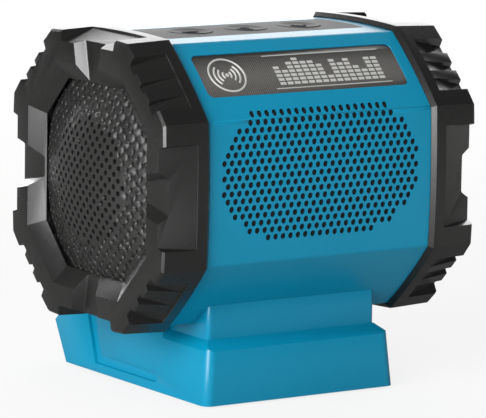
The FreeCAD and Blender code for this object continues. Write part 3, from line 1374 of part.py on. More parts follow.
def contact_block():
    block = box(-26, 26, BLOCK_Y0, BLOCK_Y1, PACK_SHOULDER - 4, DOCK_UNDER_DECK)
    slots = []
    for x in blade_places():
        slots.append(box(x - BLADE_T / 2, x + BLADE_T / 2, BLOCK_Y0 + 1, BLOCK_Y1, BLADE_Z0, BLADE_Z1))
    return block.cut(slots)


def contact_blades():
    blades = []
    for x in blade_places():
        blades.append(box(x - BLADE_T / 2, x + BLADE_T / 2, BLOCK_Y0 + 1, PACK_FRONT + BLADE_REACH,
                          BLADE_Z0, BLADE_Z1))
    return group(blades)


# Battery pack

def pack_rear_y(z):
    return dock_rear_y(z) - PACK_SET_BACK


def pack_block(half_x, front, z0, z1, inset):
    """Block whose rear end follows the dock's leaning rear face."""
    points = [(front + inset, z0), (pack_rear_y(z0) - inset * 1.25, z0)]
    if z0 < DOCK_REAR_REACH_Z < z1:
        points.append((pack_rear_y(DOCK_REAR_REACH_Z) - inset * 1.25, DOCK_REAR_REACH_Z))
    points += [(pack_rear_y(z1) - inset * 1.25, z1), (front + inset, z1)]
    corners = [Vector(-half_x + inset, y, z) for y, z in points]
    return extrude(corners, Vector(2 * (half_x - inset), 0, 0))


PACK_SPLIT_Z = PACK_SHOULDER - 3.0
LATCH_LOW_Z = PACK_SHOULDER - 13.0
LATCH_FLOOR_Z = LATCH_LOW_Z - LATCH_TRAVEL - RUN


def latch_space():
    """Pocket at the pack's rear that the release button slides in."""
    return box(-LATCH_HALF_X - RUN, LATCH_HALF_X + RUN, LATCH_Y - RUN, DOCK_REAR_REACH + 5,
               LATCH_FLOOR_Z, PACK_TOP + 2)


def latch_pocket_walls():
    return box(-LATCH_HALF_X - RUN - PACK_WALL, LATCH_HALF_X + RUN + PACK_WALL, LATCH_Y - RUN - PACK_WALL,
               DOCK_REAR_REACH, LATCH_FLOOR_Z - PACK_WALL, PACK_SHOULDER)


def spring_seat():
    return rod(SPRING_R + 1.0, Vector(0, LATCH_SPRING_Y, SPRING_LOW_Z), Vector(0, LATCH_SPRING_Y, LATCH_FLOOR_Z + 1))


LATCH_SPRING_Y = LATCH_Y + 5.0
SPRING_LOW_Z = PACK_BOTTOM + 1.2


def battery_case():
    whole = pack_block(PACK_HALF_X, PACK_FRONT, PACK_BOTTOM, PACK_SHOULDER, 0.0)
    hollow = pack_block(PACK_HALF_X, PACK_FRONT, PACK_BOTTOM, PACK_SHOULDER, PACK_WALL)
    hollow = hollow.common(box(-PACK_HALF_X, PACK_HALF_X, PACK_FRONT, DOCK_REAR_REACH,
                               PACK_BOTTOM + PACK_WALL, PACK_SHOULDER))
    walls = latch_pocket_walls().common(whole)
    post = rod(SPRING_R + 2.2, Vector(0, LATCH_SPRING_Y, PACK_BOTTOM + 0.5), Vector(0, LATCH_SPRING_Y, LATCH_FLOOR_Z))
    body = join([whole.cut(hollow), walls, post.common(whole)])
    body = body.cut([latch_space(), spring_seat()])
    low = box(-100, 100, -100, 150, PACK_BOTTOM - 1, PACK_SPLIT_Z - FIT / 2)
    return body.common(low)


def battery_lid():
    whole = pack_block(PACK_HALF_X, PACK_FRONT, PACK_BOTTOM, PACK_SHOULDER, 0.0)
    hollow = pack_block(PACK_HALF_X, PACK_FRONT, PACK_BOTTOM, PACK_SHOULDER, PACK_WALL)
    hollow = hollow.common(box(-PACK_HALF_X, PACK_HALF_X, PACK_FRONT, DOCK_REAR_REACH,
                               PACK_BOTTOM, PACK_SHOULDER - PACK_WALL))
    walls = latch_pocket_walls().common(whole)
    body = join([whole.cut(hollow), walls])
    body = body.common(box(-100, 100, -100, 150, PACK_SPLIT_Z + FIT / 2, PACK_SHOULDER))
    head_rear = DOCK_REAR - 2.0
    neck_part = box(-PACK_NECK_HALF, PACK_NECK_HALF, PACK_FRONT, head_rear, PACK_SHOULDER - 0.5, PACK_TOP)
    head = box(-PACK_HEAD_HALF, PACK_HEAD_HALF, PACK_FRONT, head_rear, PACK_NECK_TOP, PACK_TOP)
    cuts = [latch_space()]
    for x in blade_places():
        cuts.append(box(x - SLOT_HALF, x + SLOT_HALF, PACK_FRONT - 1, PACK_FRONT + BLADE_REACH + 2,
                        PACK_SHOULDER + 0.4, PACK_TOP - 0.4))
    return join([body, neck_part, head]).cut(cuts)


SLOT_HALF = BLADE_T / 2 + CLIP_RUN + CLIP_T


def battery_clips():
    """Spring leaves in the pack's slots, one on each side of every blade."""
    leaves = []
    for x in blade_places():
        for side in (-1, 1):
            a = x + side * (BLADE_T / 2 + CLIP_RUN)
            b = x + side * SLOT_HALF
            leaves.append(box(min(a, b), max(a, b), PACK_FRONT + 2, PACK_FRONT + BLADE_REACH + 2,
                              PACK_SHOULDER + 0.4, PACK_TOP - 0.4))
    return group(leaves)


def battery_cells():
    cells = []
    first = PACK_FRONT + PACK_WALL + CELL_R + 0.3
    z = PACK_BOTTOM + PACK_WALL + CELL_R
    half = CELL_LENGTH / 2
    for k in range(CELL_COUNT):
        y = first + k * CELL_PITCH
        can = rod(CELL_R, Vector(-half, y, z), Vector(half, y, z))
        tip = rod(CELL_R * 0.35, Vector(half, y, z), Vector(half + 1.2, y, z))
        cells.append(can.fuse(tip).removeSplitter())
    return group(cells)


def release_button():
    """Thumb button with a hook that stands in the dock's catch."""
    half_x = LATCH_HALF_X
    top = PACK_TOP - RUN
    points = [(LATCH_Y, LATCH_LOW_Z), (pack_rear_y(LATCH_LOW_Z) - 0.3, LATCH_LOW_Z),
              (pack_rear_y(DOCK_REAR_REACH_Z) - 0.3, DOCK_REAR_REACH_Z),
              (pack_rear_y(top) - 0.3, top), (LATCH_Y, top)]
    corners = [Vector(-half_x, y, z) for y, z in points]
    body = extrude(corners, Vector(2 * half_x, 0, 0))
    hook_top = DOCK_UNDER_DECK + LATCH_HOOK
    hook = extrude([Vector(-half_x + 2, LATCH_Y, top - 1), Vector(-half_x + 2, LATCH_Y + 6, top - 1),
                    Vector(-half_x + 2, LATCH_Y + 6, hook_top), Vector(-half_x + 2, LATCH_Y + 4.5, hook_top),
                    Vector(-half_x + 2, LATCH_Y, DOCK_UNDER_DECK - 0.2)], Vector(2 * half_x - 4, 0, 0))
    grips = []
    for k in range(4):
        z = LATCH_LOW_Z + 4.0 + k * 2.2
        grips.append(box(-half_x + 3, half_x - 3, pack_rear_y(z) - 0.9, DOCK_REAR_REACH + 2, z, z + 1.0))
    seat = rod(SPRING_R + 0.6, Vector(0, LATCH_SPRING_Y, LATCH_LOW_Z - 1), Vector(0, LATCH_SPRING_Y, SPRING_TOP_Z))
    return join([body, hook]).cut(grips + [seat])


SPRING_TOP_Z = LATCH_LOW_Z + 4.0


def release_spring():
    """Coil spring under the button, its wire drawn with flat sides."""
    height = SPRING_TOP_Z - SPRING_LOW_Z - 2 * SPRING_WIRE
    steps = SPRING_TURNS * SPRING_STEPS
    rings = []
    for k in range(steps + 1):
        angle = 2 * math.pi * k / SPRING_STEPS
        out = Vector(math.cos(angle), math.sin(angle), 0)
        centre = out * SPRING_R + Vector(0, LATCH_SPRING_Y, SPRING_LOW_Z + SPRING_WIRE + height * k / steps)
        around = [2 * math.pi * side / SPRING_SIDES for side in range(SPRING_SIDES)]
        rings.append([centre + (out * math.cos(t) + Z_AXIS * math.sin(t)) * (SPRING_WIRE / 2) for t in around])
    loops = [rings[0], rings[-1]]
    for low, high in zip(rings, rings[1:]):
        for side in range(SPRING_SIDES):
            after = (side + 1) % SPRING_SIDES
            loops += [[low[side], low[after], high[after]], [low[side], high[after], high[side]]]
    faces = [Part.Face(Part.makePolygon(loop + [loop[0]])) for loop in loops]
    wire = Part.Solid(Part.Shell(faces))
    if wire.Volume < 0:
        wire.reverse()
    return wire


def save_driver_side():
    """Pieces that both ends have, drawn at the right and mirrored to the left."""
    pieces = {
        "bumper": bumper(),
        "grille": grille(),
        "end_plate": end_plate(),
        "driver_frame": driver_frame(),
        "driver_magnet": driver_magnet(),
        "driver_cone": driver_cone(),
        "driver_surround": driver_surround(),
        "driver_dust_cap": driver_dust_cap(),
    }
    for name, shape in pieces.items():
        save("right_" + name, shape)
        save("left_" + name, mirror_x(shape))
    save("end_plate_screws", group(both_sides(end_plate_screws())))
    save("driver_screws", group(both_sides(driver_screws())))


def save_buttons():
    bar = (MARK_HALF, MARK_W / 2)
    upright = (MARK_W / 2, MARK_HALF)
    marks = {"volume_down_button": ([bar], False), "power_button": ([], True),
             "volume_up_button": ([bar, upright], False)}
    for name, x in zip(marks, button_places()):
        shape = button(*marks[name])
        shape.translate(Vector(x, 0, 0))
        save(name, shape)


os.makedirs("parts", exist_ok=True)
save("front_housing", front_housing())
save("rear_housing", rear_housing())
save("housing_screws", housing_screws())
save("label_plate", label_plate())
save_driver_side()
save("top_panel", top_panel())
save_buttons()
save("key_board", key_board())
save("key_switches", key_switches())
save("key_board_screws", key_board_screws())
save("acoustic_cloth", acoustic_cloth())
save("radiator_frame", radiator_frame())
save("radiator_roll", radiator_roll())
save("radiator_diaphragm", radiator_diaphragm())
save("radiator_screws", radiator_screws())
save("main_board", main_board())
save("main_board_screws", main_board_screws())
save("heat_sink", heat_sink())
save("capacitors", capacitors())
save("signal_module", signal_module())
save("port_board", port_board())
save("port_board_screws", port_board_screws())
save("audio_socket", audio_socket())
save("power_socket", power_socket())
save("port_cover", port_cover())
save("port_cover_pin", port_cover_pin())
save("neck", neck())
save("neck_screws", neck_screws())
save("deck_screws", deck_screws())
save("dock_housing", dock_housing())
save("base_plate", base_plate())
save("base_screws", base_screws())
save("rubber_feet", rubber_feet())
save("contact_block", contact_block())
save("contact_blades", contact_blades())
save("battery_case", battery_case())
save("battery_lid", battery_lid())
save("battery_clips", battery_clips())
save("battery_cells", battery_cells())
save("release_button", release_button())
save("release_spring", release_spring())
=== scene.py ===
import math

import bmesh
import bpy
from mathutils import Matrix, Vector


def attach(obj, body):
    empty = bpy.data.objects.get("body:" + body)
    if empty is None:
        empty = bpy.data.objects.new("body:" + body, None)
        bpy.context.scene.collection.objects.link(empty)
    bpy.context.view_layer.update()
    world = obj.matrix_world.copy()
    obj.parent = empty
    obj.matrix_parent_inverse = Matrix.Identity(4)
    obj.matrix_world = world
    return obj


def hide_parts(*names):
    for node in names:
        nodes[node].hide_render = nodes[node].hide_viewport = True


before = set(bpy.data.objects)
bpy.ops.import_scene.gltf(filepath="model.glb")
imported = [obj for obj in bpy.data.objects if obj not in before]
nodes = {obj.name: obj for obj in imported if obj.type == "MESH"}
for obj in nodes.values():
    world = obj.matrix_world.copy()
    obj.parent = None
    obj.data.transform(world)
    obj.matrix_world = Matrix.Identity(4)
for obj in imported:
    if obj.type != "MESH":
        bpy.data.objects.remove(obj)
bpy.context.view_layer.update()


# Studio: a pale floor that runs up into a backdrop, one large softbox standing at the left, weak
# ones at the far right and behind, and an even sky. In reflections only, the paper and the sky are
# painted darker (painted shade), and a strip of floor under the left softbox and a patch far behind
# to the right glow brighter than white (painted reflections of light, not lamps). The camera stands
# where the photograph was taken from, in front and to the left, a little over two metres away.

FRAME_WIDTH_PX = 486
SENSOR_MM = 36.0
FOCAL_PX = 4179.72
AZIMUTH = math.radians(33.54)
ELEVATION = math.radians(9.01)
ROLL = math.radians(0.93)
DISTANCE = 2.24265
BARREL_AXIS = Vector((0.0, -0.00895, 0.1152))
AIM = BARREL_AXIS + Vector((0.00085, 0.0, -0.02257))

ahead = Vector((math.sin(AZIMUTH), math.cos(AZIMUTH), 0.0))
look = ahead * math.cos(ELEVATION) - Vector((0.0, 0.0, math.sin(ELEVATION)))
level_right = Vector((math.cos(AZIMUTH), -math.sin(AZIMUTH), 0.0))
level_up = level_right.cross(look)
cam_right = level_right * math.cos(ROLL) + level_up * math.sin(ROLL)
cam_up = level_up * math.cos(ROLL) - level_right * math.sin(ROLL)
cam_data = bpy.data.cameras.new("photo_camera")
cam_data.sensor_width = SENSOR_MM
cam_data.lens = FOCAL_PX / FRAME_WIDTH_PX * SENSOR_MM
cam_data.clip_start = 0.05
cam_data.clip_end = 50.0
camera = bpy.data.objects.new("photo_camera", cam_data)
turn = Matrix((cam_right, cam_up, -look)).transposed().to_4x4()
camera.matrix_world = Matrix.Translation(AIM - look * DISTANCE) @ turn
bpy.context.collection.objects.link(camera)
bpy.context.scene.camera = camera
bpy.context.scene.view_settings.view_transform = "Standard"


def linear(rgb):
    """Colour written as 0-255 display values, turned into the values a shader takes."""
    out = []
    for value in rgb:
        c = value / 255.0
        out.append(c / 12.92 if c <= 0.04045 else ((c + 0.055) / 1.055) ** 2.4)
    return (*out, 1.0)


class Sock:
    """A shader socket that takes part in Python arithmetic and adds the Math nodes it needs."""

    def __init__(self, shade, link):
        self.shade = shade
        self.link = link

    def _math(self, operation, a, b):
        return self.shade.node("ShaderNodeMath", {"operation": operation}, {0: a, 1: b})

    def __add__(self, other):
        return self._math("ADD", self, other)

    __radd__ = __add__

    def __sub__(self, other):
        return self._math("SUBTRACT", self, other)

    def __rsub__(self, other):
        return self._math("SUBTRACT", other, self)

    def __mul__(self, other):
        return self._math("MULTIPLY", self, other)

    __rmul__ = __mul__

    def __lt__(self, other):
        return self._math("LESS_THAN", self, other)

    def __gt__(self, other):
        return self._math("GREATER_THAN", self, other)


class Shade:
    """The nodes of one material, or of the sky, while they are put together."""

    def __init__(self, owner):
        self.owner = owner
        owner.use_nodes = True
        self.tree = owner.node_tree
        self.surface = self.tree.nodes.get("Principled BSDF")

    def node(self, kind, settings=None, inputs=None, output=0):
        made = self.tree.nodes.new(kind)
        for key, value in (settings or {}).items():
            setattr(made, key, value)
        for key, value in (inputs or {}).items():
            self.set(made.inputs[key], value)
        return Sock(self, made.outputs[output])

    def set(self, socket, value):
        if isinstance(value, Sock):
            self.tree.links.new(value.link, socket)
        else:
            socket.default_value = value

    def finish(self, **inputs):
        for name, value in inputs.items():
            self.set(self.surface.inputs[name.replace("_", " ").title()], value)
        return self.owner

    def place(self):
        return self.node("ShaderNodeTexCoord", output="Object")

    def noise(self, scale, detail=2.0, rough=0.5):
        return self.node("ShaderNodeTexNoise", None, {"Vector": self.place(), "Scale": scale,
                                                      "Detail": detail, "Roughness": rough})

    def mix(self, factor, a, b):
        return self.node("ShaderNodeMix", {"data_type": "RGBA"}, {0: factor, 6: a, 7: b}, output=2)

    def bump(self, height, strength, distance):
        return self.node("ShaderNodeBump", None,
                         {"Strength": strength, "Distance": distance, "Height": height})


PAPER_GREY = linear((212, 212, 210))
# In reflections only, the paper takes these darker greys: painted shade in what the object mirrors.
PAPER_PAINTED_DARK_IN_REFLECTIONS = linear((128, 128, 127))
PAPER_PAINTED_LESS_DARK_IN_REFLECTIONS_RIGHT = linear((190, 190, 188))
FLOOR_HALF = 9.0
BACK_WALL_Y = 6.0
SWEEP_R = 1.0
SHADE_LIFT = 0.82           # how far the paper near the object is lifted towards white for the eye
SHADE_NEAR = 0.30
SHADE_FAR = 1.30
PAINTED_GLOW_BEHIND_FROM = (0.12, 1.10)    # right of this slope and behind this line the paper glows in reflections, a painted reflection of light
PAINTED_GLOW_BEHIND_TOP = 4.2
PAINTED_GLOW_BEHIND_WHITE = 2.6
RIGHT_FROM_X = 0.25         # right of this line the paper is painted a less dark grey in reflections
PAINTED_GLOW_LEFT_TO = (-0.45, 0.25)     # strip of floor under the left softbox that glows brightly in reflections, a painted reflection of light and not lit by the lamp
PAINTED_GLOW_LEFT_TOP = 0.01
PAINTED_GLOW_LEFT_WHITE = 2.6


def white_of(strength):
    """White at a strength, which may be more than 1."""
    return (strength, strength, strength, 1.0)


def studio_paper():
    shade = Shade(bpy.data.materials.new("studio_paper"))
    place = shade.place()
    distance = shade.node("ShaderNodeVectorMath", {"operation": "LENGTH"}, {0: place}, output="Value")
    far = shade.node("ShaderNodeMapRange", {"interpolation_type": "SMOOTHSTEP"},
                     {"Value": distance, "From Min": SHADE_NEAR, "From Max": SHADE_FAR,
                      "To Min": SHADE_LIFT, "To Max": 1.0})
    x, y, z = [shade.node("ShaderNodeSeparateXYZ", None, {0: place}, output=axis) for axis in "XYZ"]
    # Painted glow: these masks mark paper that glows brighter than white in reflections only
    behind = (x > y * PAINTED_GLOW_BEHIND_FROM[0]) * (y > PAINTED_GLOW_BEHIND_FROM[1]) * (z < PAINTED_GLOW_BEHIND_TOP)
    glow = (x < PAINTED_GLOW_LEFT_TO[0]) * (y < PAINTED_GLOW_LEFT_TO[1]) * (z < PAINTED_GLOW_LEFT_TOP)
    seen = shade.node("ShaderNodeLightPath", output="Is Camera Ray")
    mirrored = shade.node("ShaderNodeLightPath", output="Is Glossy Ray")
    through = shade.node("ShaderNodeLightPath", output="Is Transmission Ray")
    # painted glow, brighter than white, seen only in reflections
    lit = shade.mix(glow, white_of(PAINTED_GLOW_BEHIND_WHITE), white_of(PAINTED_GLOW_LEFT_WHITE))
    colour = shade.mix(mirrored, white_of(1.0), lit)
    white = shade.node("ShaderNodeEmission", None, {"Color": colour, "Strength": 1.0})
    # painted shade: the paper is darker in reflections, less so to the right
    reflected_paper_painted_dark = shade.mix(x > RIGHT_FROM_X, PAPER_PAINTED_DARK_IN_REFLECTIONS, PAPER_PAINTED_LESS_DARK_IN_REFLECTIONS_RIGHT)
    shade.finish(base_color=shade.mix(mirrored, PAPER_GREY, reflected_paper_painted_dark), roughness=0.9)
    paper = Sock(shade, shade.surface.outputs[0])
    share = seen * far + mirrored * (behind + glow) + through
    both = shade.node("ShaderNodeMixShader", None, {0: share, 1: paper, 2: white})
    shade.set(shade.tree.nodes["Material Output"].inputs["Surface"], both)
    return shade.owner


backdrop = bpy.data.meshes.new("backdrop")
profile = [(-FLOOR_HALF, 0.0)]
for step in range(9):
    angle = math.pi / 2 * step / 8
    profile.append((BACK_WALL_Y - SWEEP_R + SWEEP_R * math.sin(angle), SWEEP_R - SWEEP_R * math.cos(angle)))
profile.append((BACK_WALL_Y, FLOOR_HALF))
points = []
faces = []
for y, z in profile:
    points += [(-FLOOR_HALF, y, z), (FLOOR_HALF, y, z)]
for k in range(len(profile) - 1):
    faces.append((2 * k, 2 * k + 1, 2 * k + 3, 2 * k + 2))
backdrop.from_pydata(points, [], faces)
floor = bpy.data.objects.new("floor", backdrop)
bpy.context.collection.objects.link(floor)
floor.data.materials.append(studio_paper())

SKY_LIGHT = 0.55
# In reflections only, the sky is painted dark, far weaker than the light it gives.
SKY_PAINTED_DARK_IN_REFLECTIONS = 0.08

sky = Shade(bpy.data.worlds.new("sky"))
bpy.context.scene.world = sky.owner
seen = sky.node("ShaderNodeLightPath", output="Is Camera Ray")
mirrored = sky.node("ShaderNodeLightPath", output="Is Glossy Ray")
sky.set(sky.tree.nodes["Background"].inputs["Color"], (1.0, 1.0, 1.0, 1.0))
# painted shade: the sky is white to the camera, dim in reflections, and at full strength as light
sky.set(sky.tree.nodes["Background"].inputs["Strength"],
        seen * (1.0 - SKY_LIGHT) - mirrored * (SKY_LIGHT - SKY_PAINTED_DARK_IN_REFLECTIONS) + SKY_LIGHT)


def lamp(name, place, size, watts, aim=AIM):
    data = bpy.data.lights.new(name, "AREA")
    data.shape = "RECTANGLE"
    data.size, data.size_y = size
    data.energy = watts
    made = bpy.data.objects.new(name, data)
    made.location = place
    made.rotation_mode = "QUATERNION"
    made.rotation_quaternion = (Vector(place) - aim).to_track_quat("Z", "Y")
    bpy.context.collection.objects.link(made)


lamp("left_softbox", (-1.45, -0.62, 0.56), (1.25, 1.10), 44.0)
lamp("far_softbox", (1.60, 0.90, 1.30), (0.8, 0.8), 9.0)
lamp("rear_softbox", (0.10, 2.30, 0.55), (1.0, 0.8), 24.0)


# Barrel housings: front and rear halves of the eight-sided body, injection moulded in blue ABS
# with a fine satin grain, joined behind the top and bottom faces by screws from the back.

BLUE = linear((4, 127, 161))
BLUE_DEEP = linear((3, 122, 156))
BARREL_HALF = 0.0740
BARREL_FLAT_HALF = 0.03715
FACE_CROWN = 0.0012
EIGHTH = math.radians(45.0)
ON_ARC = 0.00020            # a face this close to its side's arc belongs to it
ALONG_ARC = 0.9985          # and its direction has to agree this well
SAME_PLACE = 2e-6
FLAT_ANGLE = math.radians(0.4)


def blue_plastic():
    shade = Shade(bpy.data.materials.new("blue_plastic"))
    cloud = shade.noise(18.0, 3.0)
    colour = shade.mix(cloud, BLUE, BLUE_DEEP)
    grain = shade.noise(5200.0, 1.0)
    smudge = shade.noise(42.0, 4.0, 0.6)
    shade.set(shade.surface.inputs["Specular IOR Level"], 0.4)
    return shade.finish(base_color=colour, roughness=smudge * 0.04 + 0.24,
                        normal=shade.bump(grain, 0.06, 0.0004))


def crown_normals(mesh, sections):
    """Shade the eight gently crowned sides with the normals of their true arcs.

    Each section is a place along the barrel, the distance of the flats and half their length.
    """
    def size_at(x):
        for (x0, half0, flat0), (x1, half1, flat1) in zip(sections, sections[1:]):
            if x <= x1:
                share = max(0.0, (x - x0) / (x1 - x0))
                return half0 + (half1 - half0) * share, flat0 + (flat1 - flat0) * share
        return sections[-1][1:]

    normals = [Vector((0.0, 0.0, 0.0))] * len(mesh.loops)
    for polygon in mesh.polygons:
        facet = polygon.normal
        across = math.hypot(facet.y, facet.z)
        if across < 0.5:
            continue
        turn = round(math.atan2(facet.z, facet.y) / EIGHTH)
        out = Vector((0.0, math.cos(turn * EIGHTH), math.sin(turn * EIGHTH)))
        half, flat_half = size_at(abs(polygon.center.x))
        reach, side = (half, flat_half)
        if turn % 2:
            reach, side = ((half + flat_half) * math.sqrt(0.5), (half - flat_half) * math.sqrt(0.5))
        radius = (side ** 2 + FACE_CROWN ** 2) / (2 * FACE_CROWN)
        hub = BARREL_AXIS + out * (reach + FACE_CROWN - radius)
        arm = polygon.center - hub
        arm.x = 0.0
        aligned = arm.normalized().dot(Vector((0.0, facet.y, facet.z)) / across)
        if abs(arm.length - radius) > ON_ARC or aligned < ALONG_ARC:
            continue
        for index in polygon.loop_indices:
            arm = mesh.vertices[mesh.loops[index].vertex_index].co - hub
            arm.x = 0.0
            arm.normalize()
            normals[index] = Vector((facet.x, arm.y * across, arm.z * across))
    mesh.normals_split_custom_set(normals)


def finished_copy(name, width=0.0, segments=2, limit=28.0, smooth=40.0, crown=None, hidden=None):
    """Copy of a CAD piece as one closed skin with its edges rounded, to stand for that piece.

    Edges whose two ends are both in the hidden part stay sharp.
    """
    mesh = nodes[name].data.copy()
    bm = bmesh.new()
    bm.from_mesh(mesh)
    bmesh.ops.remove_doubles(bm, verts=bm.verts, dist=SAME_PLACE)
    bmesh.ops.dissolve_limit(bm, angle_limit=FLAT_ANGLE, verts=bm.verts, edges=bm.edges,
                             use_dissolve_boundaries=False)
    weight = bm.edges.layers.float.new("bevel_weight_edge")
    for edge in bm.edges:
        sharp = len(edge.link_faces) == 2 and edge.calc_face_angle() > math.radians(limit)
        if sharp and not (hidden and all(hidden(vertex.co) for vertex in edge.verts)):
            edge[weight] = 1.0
    bm.to_mesh(mesh)
    bm.free()
    made = bpy.data.objects.new(name + "_skin", mesh)
    bpy.context.collection.objects.link(made)
    if width:
        bevel = made.modifiers.new("round_edges", "BEVEL")
        bevel.width = width
        bevel.segments = segments
        bevel.limit_method = "WEIGHT"
        bevel.use_clamp_overlap = True
        evaluated = made.evaluated_get(bpy.context.evaluated_depsgraph_get())
        mesh = bpy.data.meshes.new_from_object(evaluated)
        made.modifiers.clear()
        made.data = mesh
    for polygon in mesh.polygons:
        polygon.use_smooth = True
    mesh.set_sharp_from_angle(angle=math.radians(smooth))
    if crown:
        crown_normals(mesh, crown)
    mesh.materials.clear()
    return made


def dress(name, material, body="speaker", slot=None, **edges):
    """Round a CAD piece's edges, give it its material and let it stand for the piece."""
    made = finished_copy(name, **edges)
    made.data.materials.append(material)
    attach(made, body)
    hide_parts(name)
    return made


def paint(names, material):
    """Give CAD pieces that are right as they are a finished material."""
    for name in names:
        for material_slot in nodes[name].material_slots:
            material_slot.material = material


def behind_field(place):
    """Whether a place is on the inner side of the perforated wall."""
    depth = BARREL_HALF - (BARREL_AXIS.y - place.y)
    return 0.0001 < depth < 0.0012 and abs(place.x) < 0.067


BARREL_SECTIONS = [(0.0, BARREL_HALF, BARREL_FLAT_HALF), (0.1, BARREL_HALF, BARREL_FLAT_HALF)]
BLUE_PLASTIC = blue_plastic()
dress("front_housing", BLUE_PLASTIC, slot="blue_plastic", width=0.00035, segments=1, crown=BARREL_SECTIONS,
      hidden=behind_field)
dress("rear_housing", BLUE_PLASTIC, slot="blue_plastic", width=0.0004, crown=BARREL_SECTIONS)


def plated_steel(name, colour=(150, 152, 155), rough=0.32):
    shade = Shade(bpy.data.materials.new(name))
    wear = shade.noise(900.0, 3.0)
    tone = shade.mix(wear, linear(colour), linear([c * 0.86 for c in colour]))
    return shade.finish(base_color=tone, metallic=1.0, roughness=wear * 0.2 + rough)


STEEL = plated_steel("zinc_steel")
paint(["housing_screws"], STEEL)


# Acoustic cloth and passive radiator: woven cloth backs the perforated front, and behind it a
# weighted plate on a rubber roll moves with the drivers. The radiator's frame is screwed to posts.

def black_moulding(name="black_moulding", colour=(38, 38, 40), rough=0.42):
    shade = Shade(bpy.data.materials.new(name))
    cloud = shade.noise(60.0, 3.0)
    tone = shade.mix(cloud, linear(colour), linear([c * 0.82 for c in colour]))
    return shade.finish(base_color=tone, roughness=cloud * 0.12 + rough,
                        normal=shade.bump(shade.noise(4200.0, 1.0), 0.15, 0.0003))


THREAD_SCALE = 900.0


def woven_cloth():
    shade = Shade(bpy.data.materials.new("black_cloth"))
    place = shade.place()
    weave, cross = [shade.node("ShaderNodeTexWave", {"wave_type": "BANDS", "bands_direction": axis},
                               {"Vector": place, "Scale": THREAD_SCALE}, output=1) for axis in "XZ"]
    threads = weave * cross
    tone = shade.mix(threads, linear((8, 13, 18)), linear((15, 22, 28)))
    return shade.finish(base_color=tone, roughness=0.9, normal=shade.bump(threads, 0.2, 0.0001))


def soft_rubber(name="soft_rubber", colour=(26, 26, 27)):
    shade = Shade(bpy.data.materials.new(name))
    dust = shade.noise(700.0, 4.0, 0.65)
    tone = shade.mix(dust, linear(colour), linear([c * 1.35 for c in colour]))
    return shade.finish(base_color=tone, roughness=dust * 0.15 + 0.6, normal=shade.bump(dust, 0.2, 0.0002))


BLACK_MOULDING = black_moulding()
SOFT_RUBBER = soft_rubber()
ALUMINIUM = plated_steel("satin_aluminium", (178, 180, 183), 0.38)
paint(["acoustic_cloth"], woven_cloth())
paint(["radiator_frame"], BLACK_MOULDING)
paint(["radiator_roll"], SOFT_RUBBER)
paint(["radiator_diaphragm"], ALUMINIUM)
paint(["radiator_screws"], STEEL)


# Drivers: one in each end, a pressed basket with a magnet behind, a coated paper cone with its
# coil, a rubber surround and a dust cap, screwed to the end plate that closes the barrel.

def coated_paper():
    shade = Shade(bpy.data.materials.new("coated_paper"))
    fibre = shade.noise(1600.0, 4.0, 0.7)
    tone = shade.mix(fibre, linear((30, 30, 31)), linear((48, 47, 46)))
    return shade.finish(base_color=tone, roughness=0.75, normal=shade.bump(fibre, 0.3, 0.0002))


CONE_PAPER = coated_paper()
MAGNET_STEEL = plated_steel("magnet_steel", (112, 113, 116), 0.4)
for side in ("left", "right"):
    paint([side + "_driver_frame"], BLACK_MOULDING)
    paint([side + "_driver_magnet"], MAGNET_STEEL)
    paint([side + "_driver_cone", side + "_driver_dust_cap"], CONE_PAPER)
    paint([side + "_driver_surround"], SOFT_RUBBER)
    paint([side + "_end_plate"], BLACK_MOULDING)
paint(["end_plate_screws", "driver_screws"], STEEL)


# Grilles: domed covers pressed from sheet and powder coated charcoal, held by their flanges under
# the bumpers. The middle is punched through and the ring around it only dimpled.

def powder_coat():
    shade = Shade(bpy.data.materials.new("charcoal_powder_coat"))
    speck = shade.noise(3000.0, 2.0)
    cloud = shade.noise(30.0, 3.0)
    tone = shade.mix(cloud, linear((34, 34, 33)), linear((28, 28, 28)))
    return shade.finish(base_color=tone, roughness=speck * 0.14 + 0.36,
                        normal=shade.bump(speck, 0.22, 0.0002))


POWDER_COAT = powder_coat()
for side in ("left", "right"):
    dress(side + "_grille", POWDER_COAT, slot="charcoal_metal")


# Bumpers: thick rings moulded in charcoal rubber that snap over the barrel's ends. Lugs, notches
# and ribs take the knocks, and their edges are rounded by the mould.

BUMPER_ROUND = 0.0009
BUMPER_SECTIONS = [(0.0698, 0.0745, 0.03715), (0.0720, 0.0766, 0.0383), (0.0742, 0.0766, 0.0383),
                   (0.0969, 0.0757, 0.03793), (0.0981, 0.0745, 0.03743)]


def bumper_rubber():
    shade = Shade(bpy.data.materials.new("charcoal_rubber"))
    cloud = shade.noise(26.0, 4.0, 0.6)
    tone = shade.mix(cloud, linear((25, 25, 24)), linear((20, 20, 20)))
    grain = shade.noise(2600.0, 2.0)
    shade.set(shade.surface.inputs["Specular IOR Level"], 0.7)
    return shade.finish(base_color=tone, roughness=cloud * 0.08 + 0.23,
                        normal=shade.bump(grain, 0.10, 0.0003))


BUMPER_RUBBER = bumper_rubber()
for side in ("left", "right"):
    dress(side + "_bumper", BUMPER_RUBBER, slot="charcoal_rubber", width=BUMPER_ROUND, segments=3, limit=24.0,
          crown=BUMPER_SECTIONS)


# Control panel: a satin near-black plate let into the top, with three dished buttons under it that
# press small switches on the key board. Their marks are moulded proud.

def panel_plastic():
    shade = Shade(bpy.data.materials.new("panel_plastic"))
    cloud = shade.noise(40.0, 3.0)
    tone = shade.mix(cloud, linear((44, 46, 48)), linear((36, 38, 40)))
    shade.set(shade.surface.inputs["Specular IOR Level"], 0.3)
    return shade.finish(base_color=tone, roughness=cloud * 0.1 + 0.46,
                        normal=shade.bump(shade.noise(5200.0, 1.0), 0.1, 0.0003))


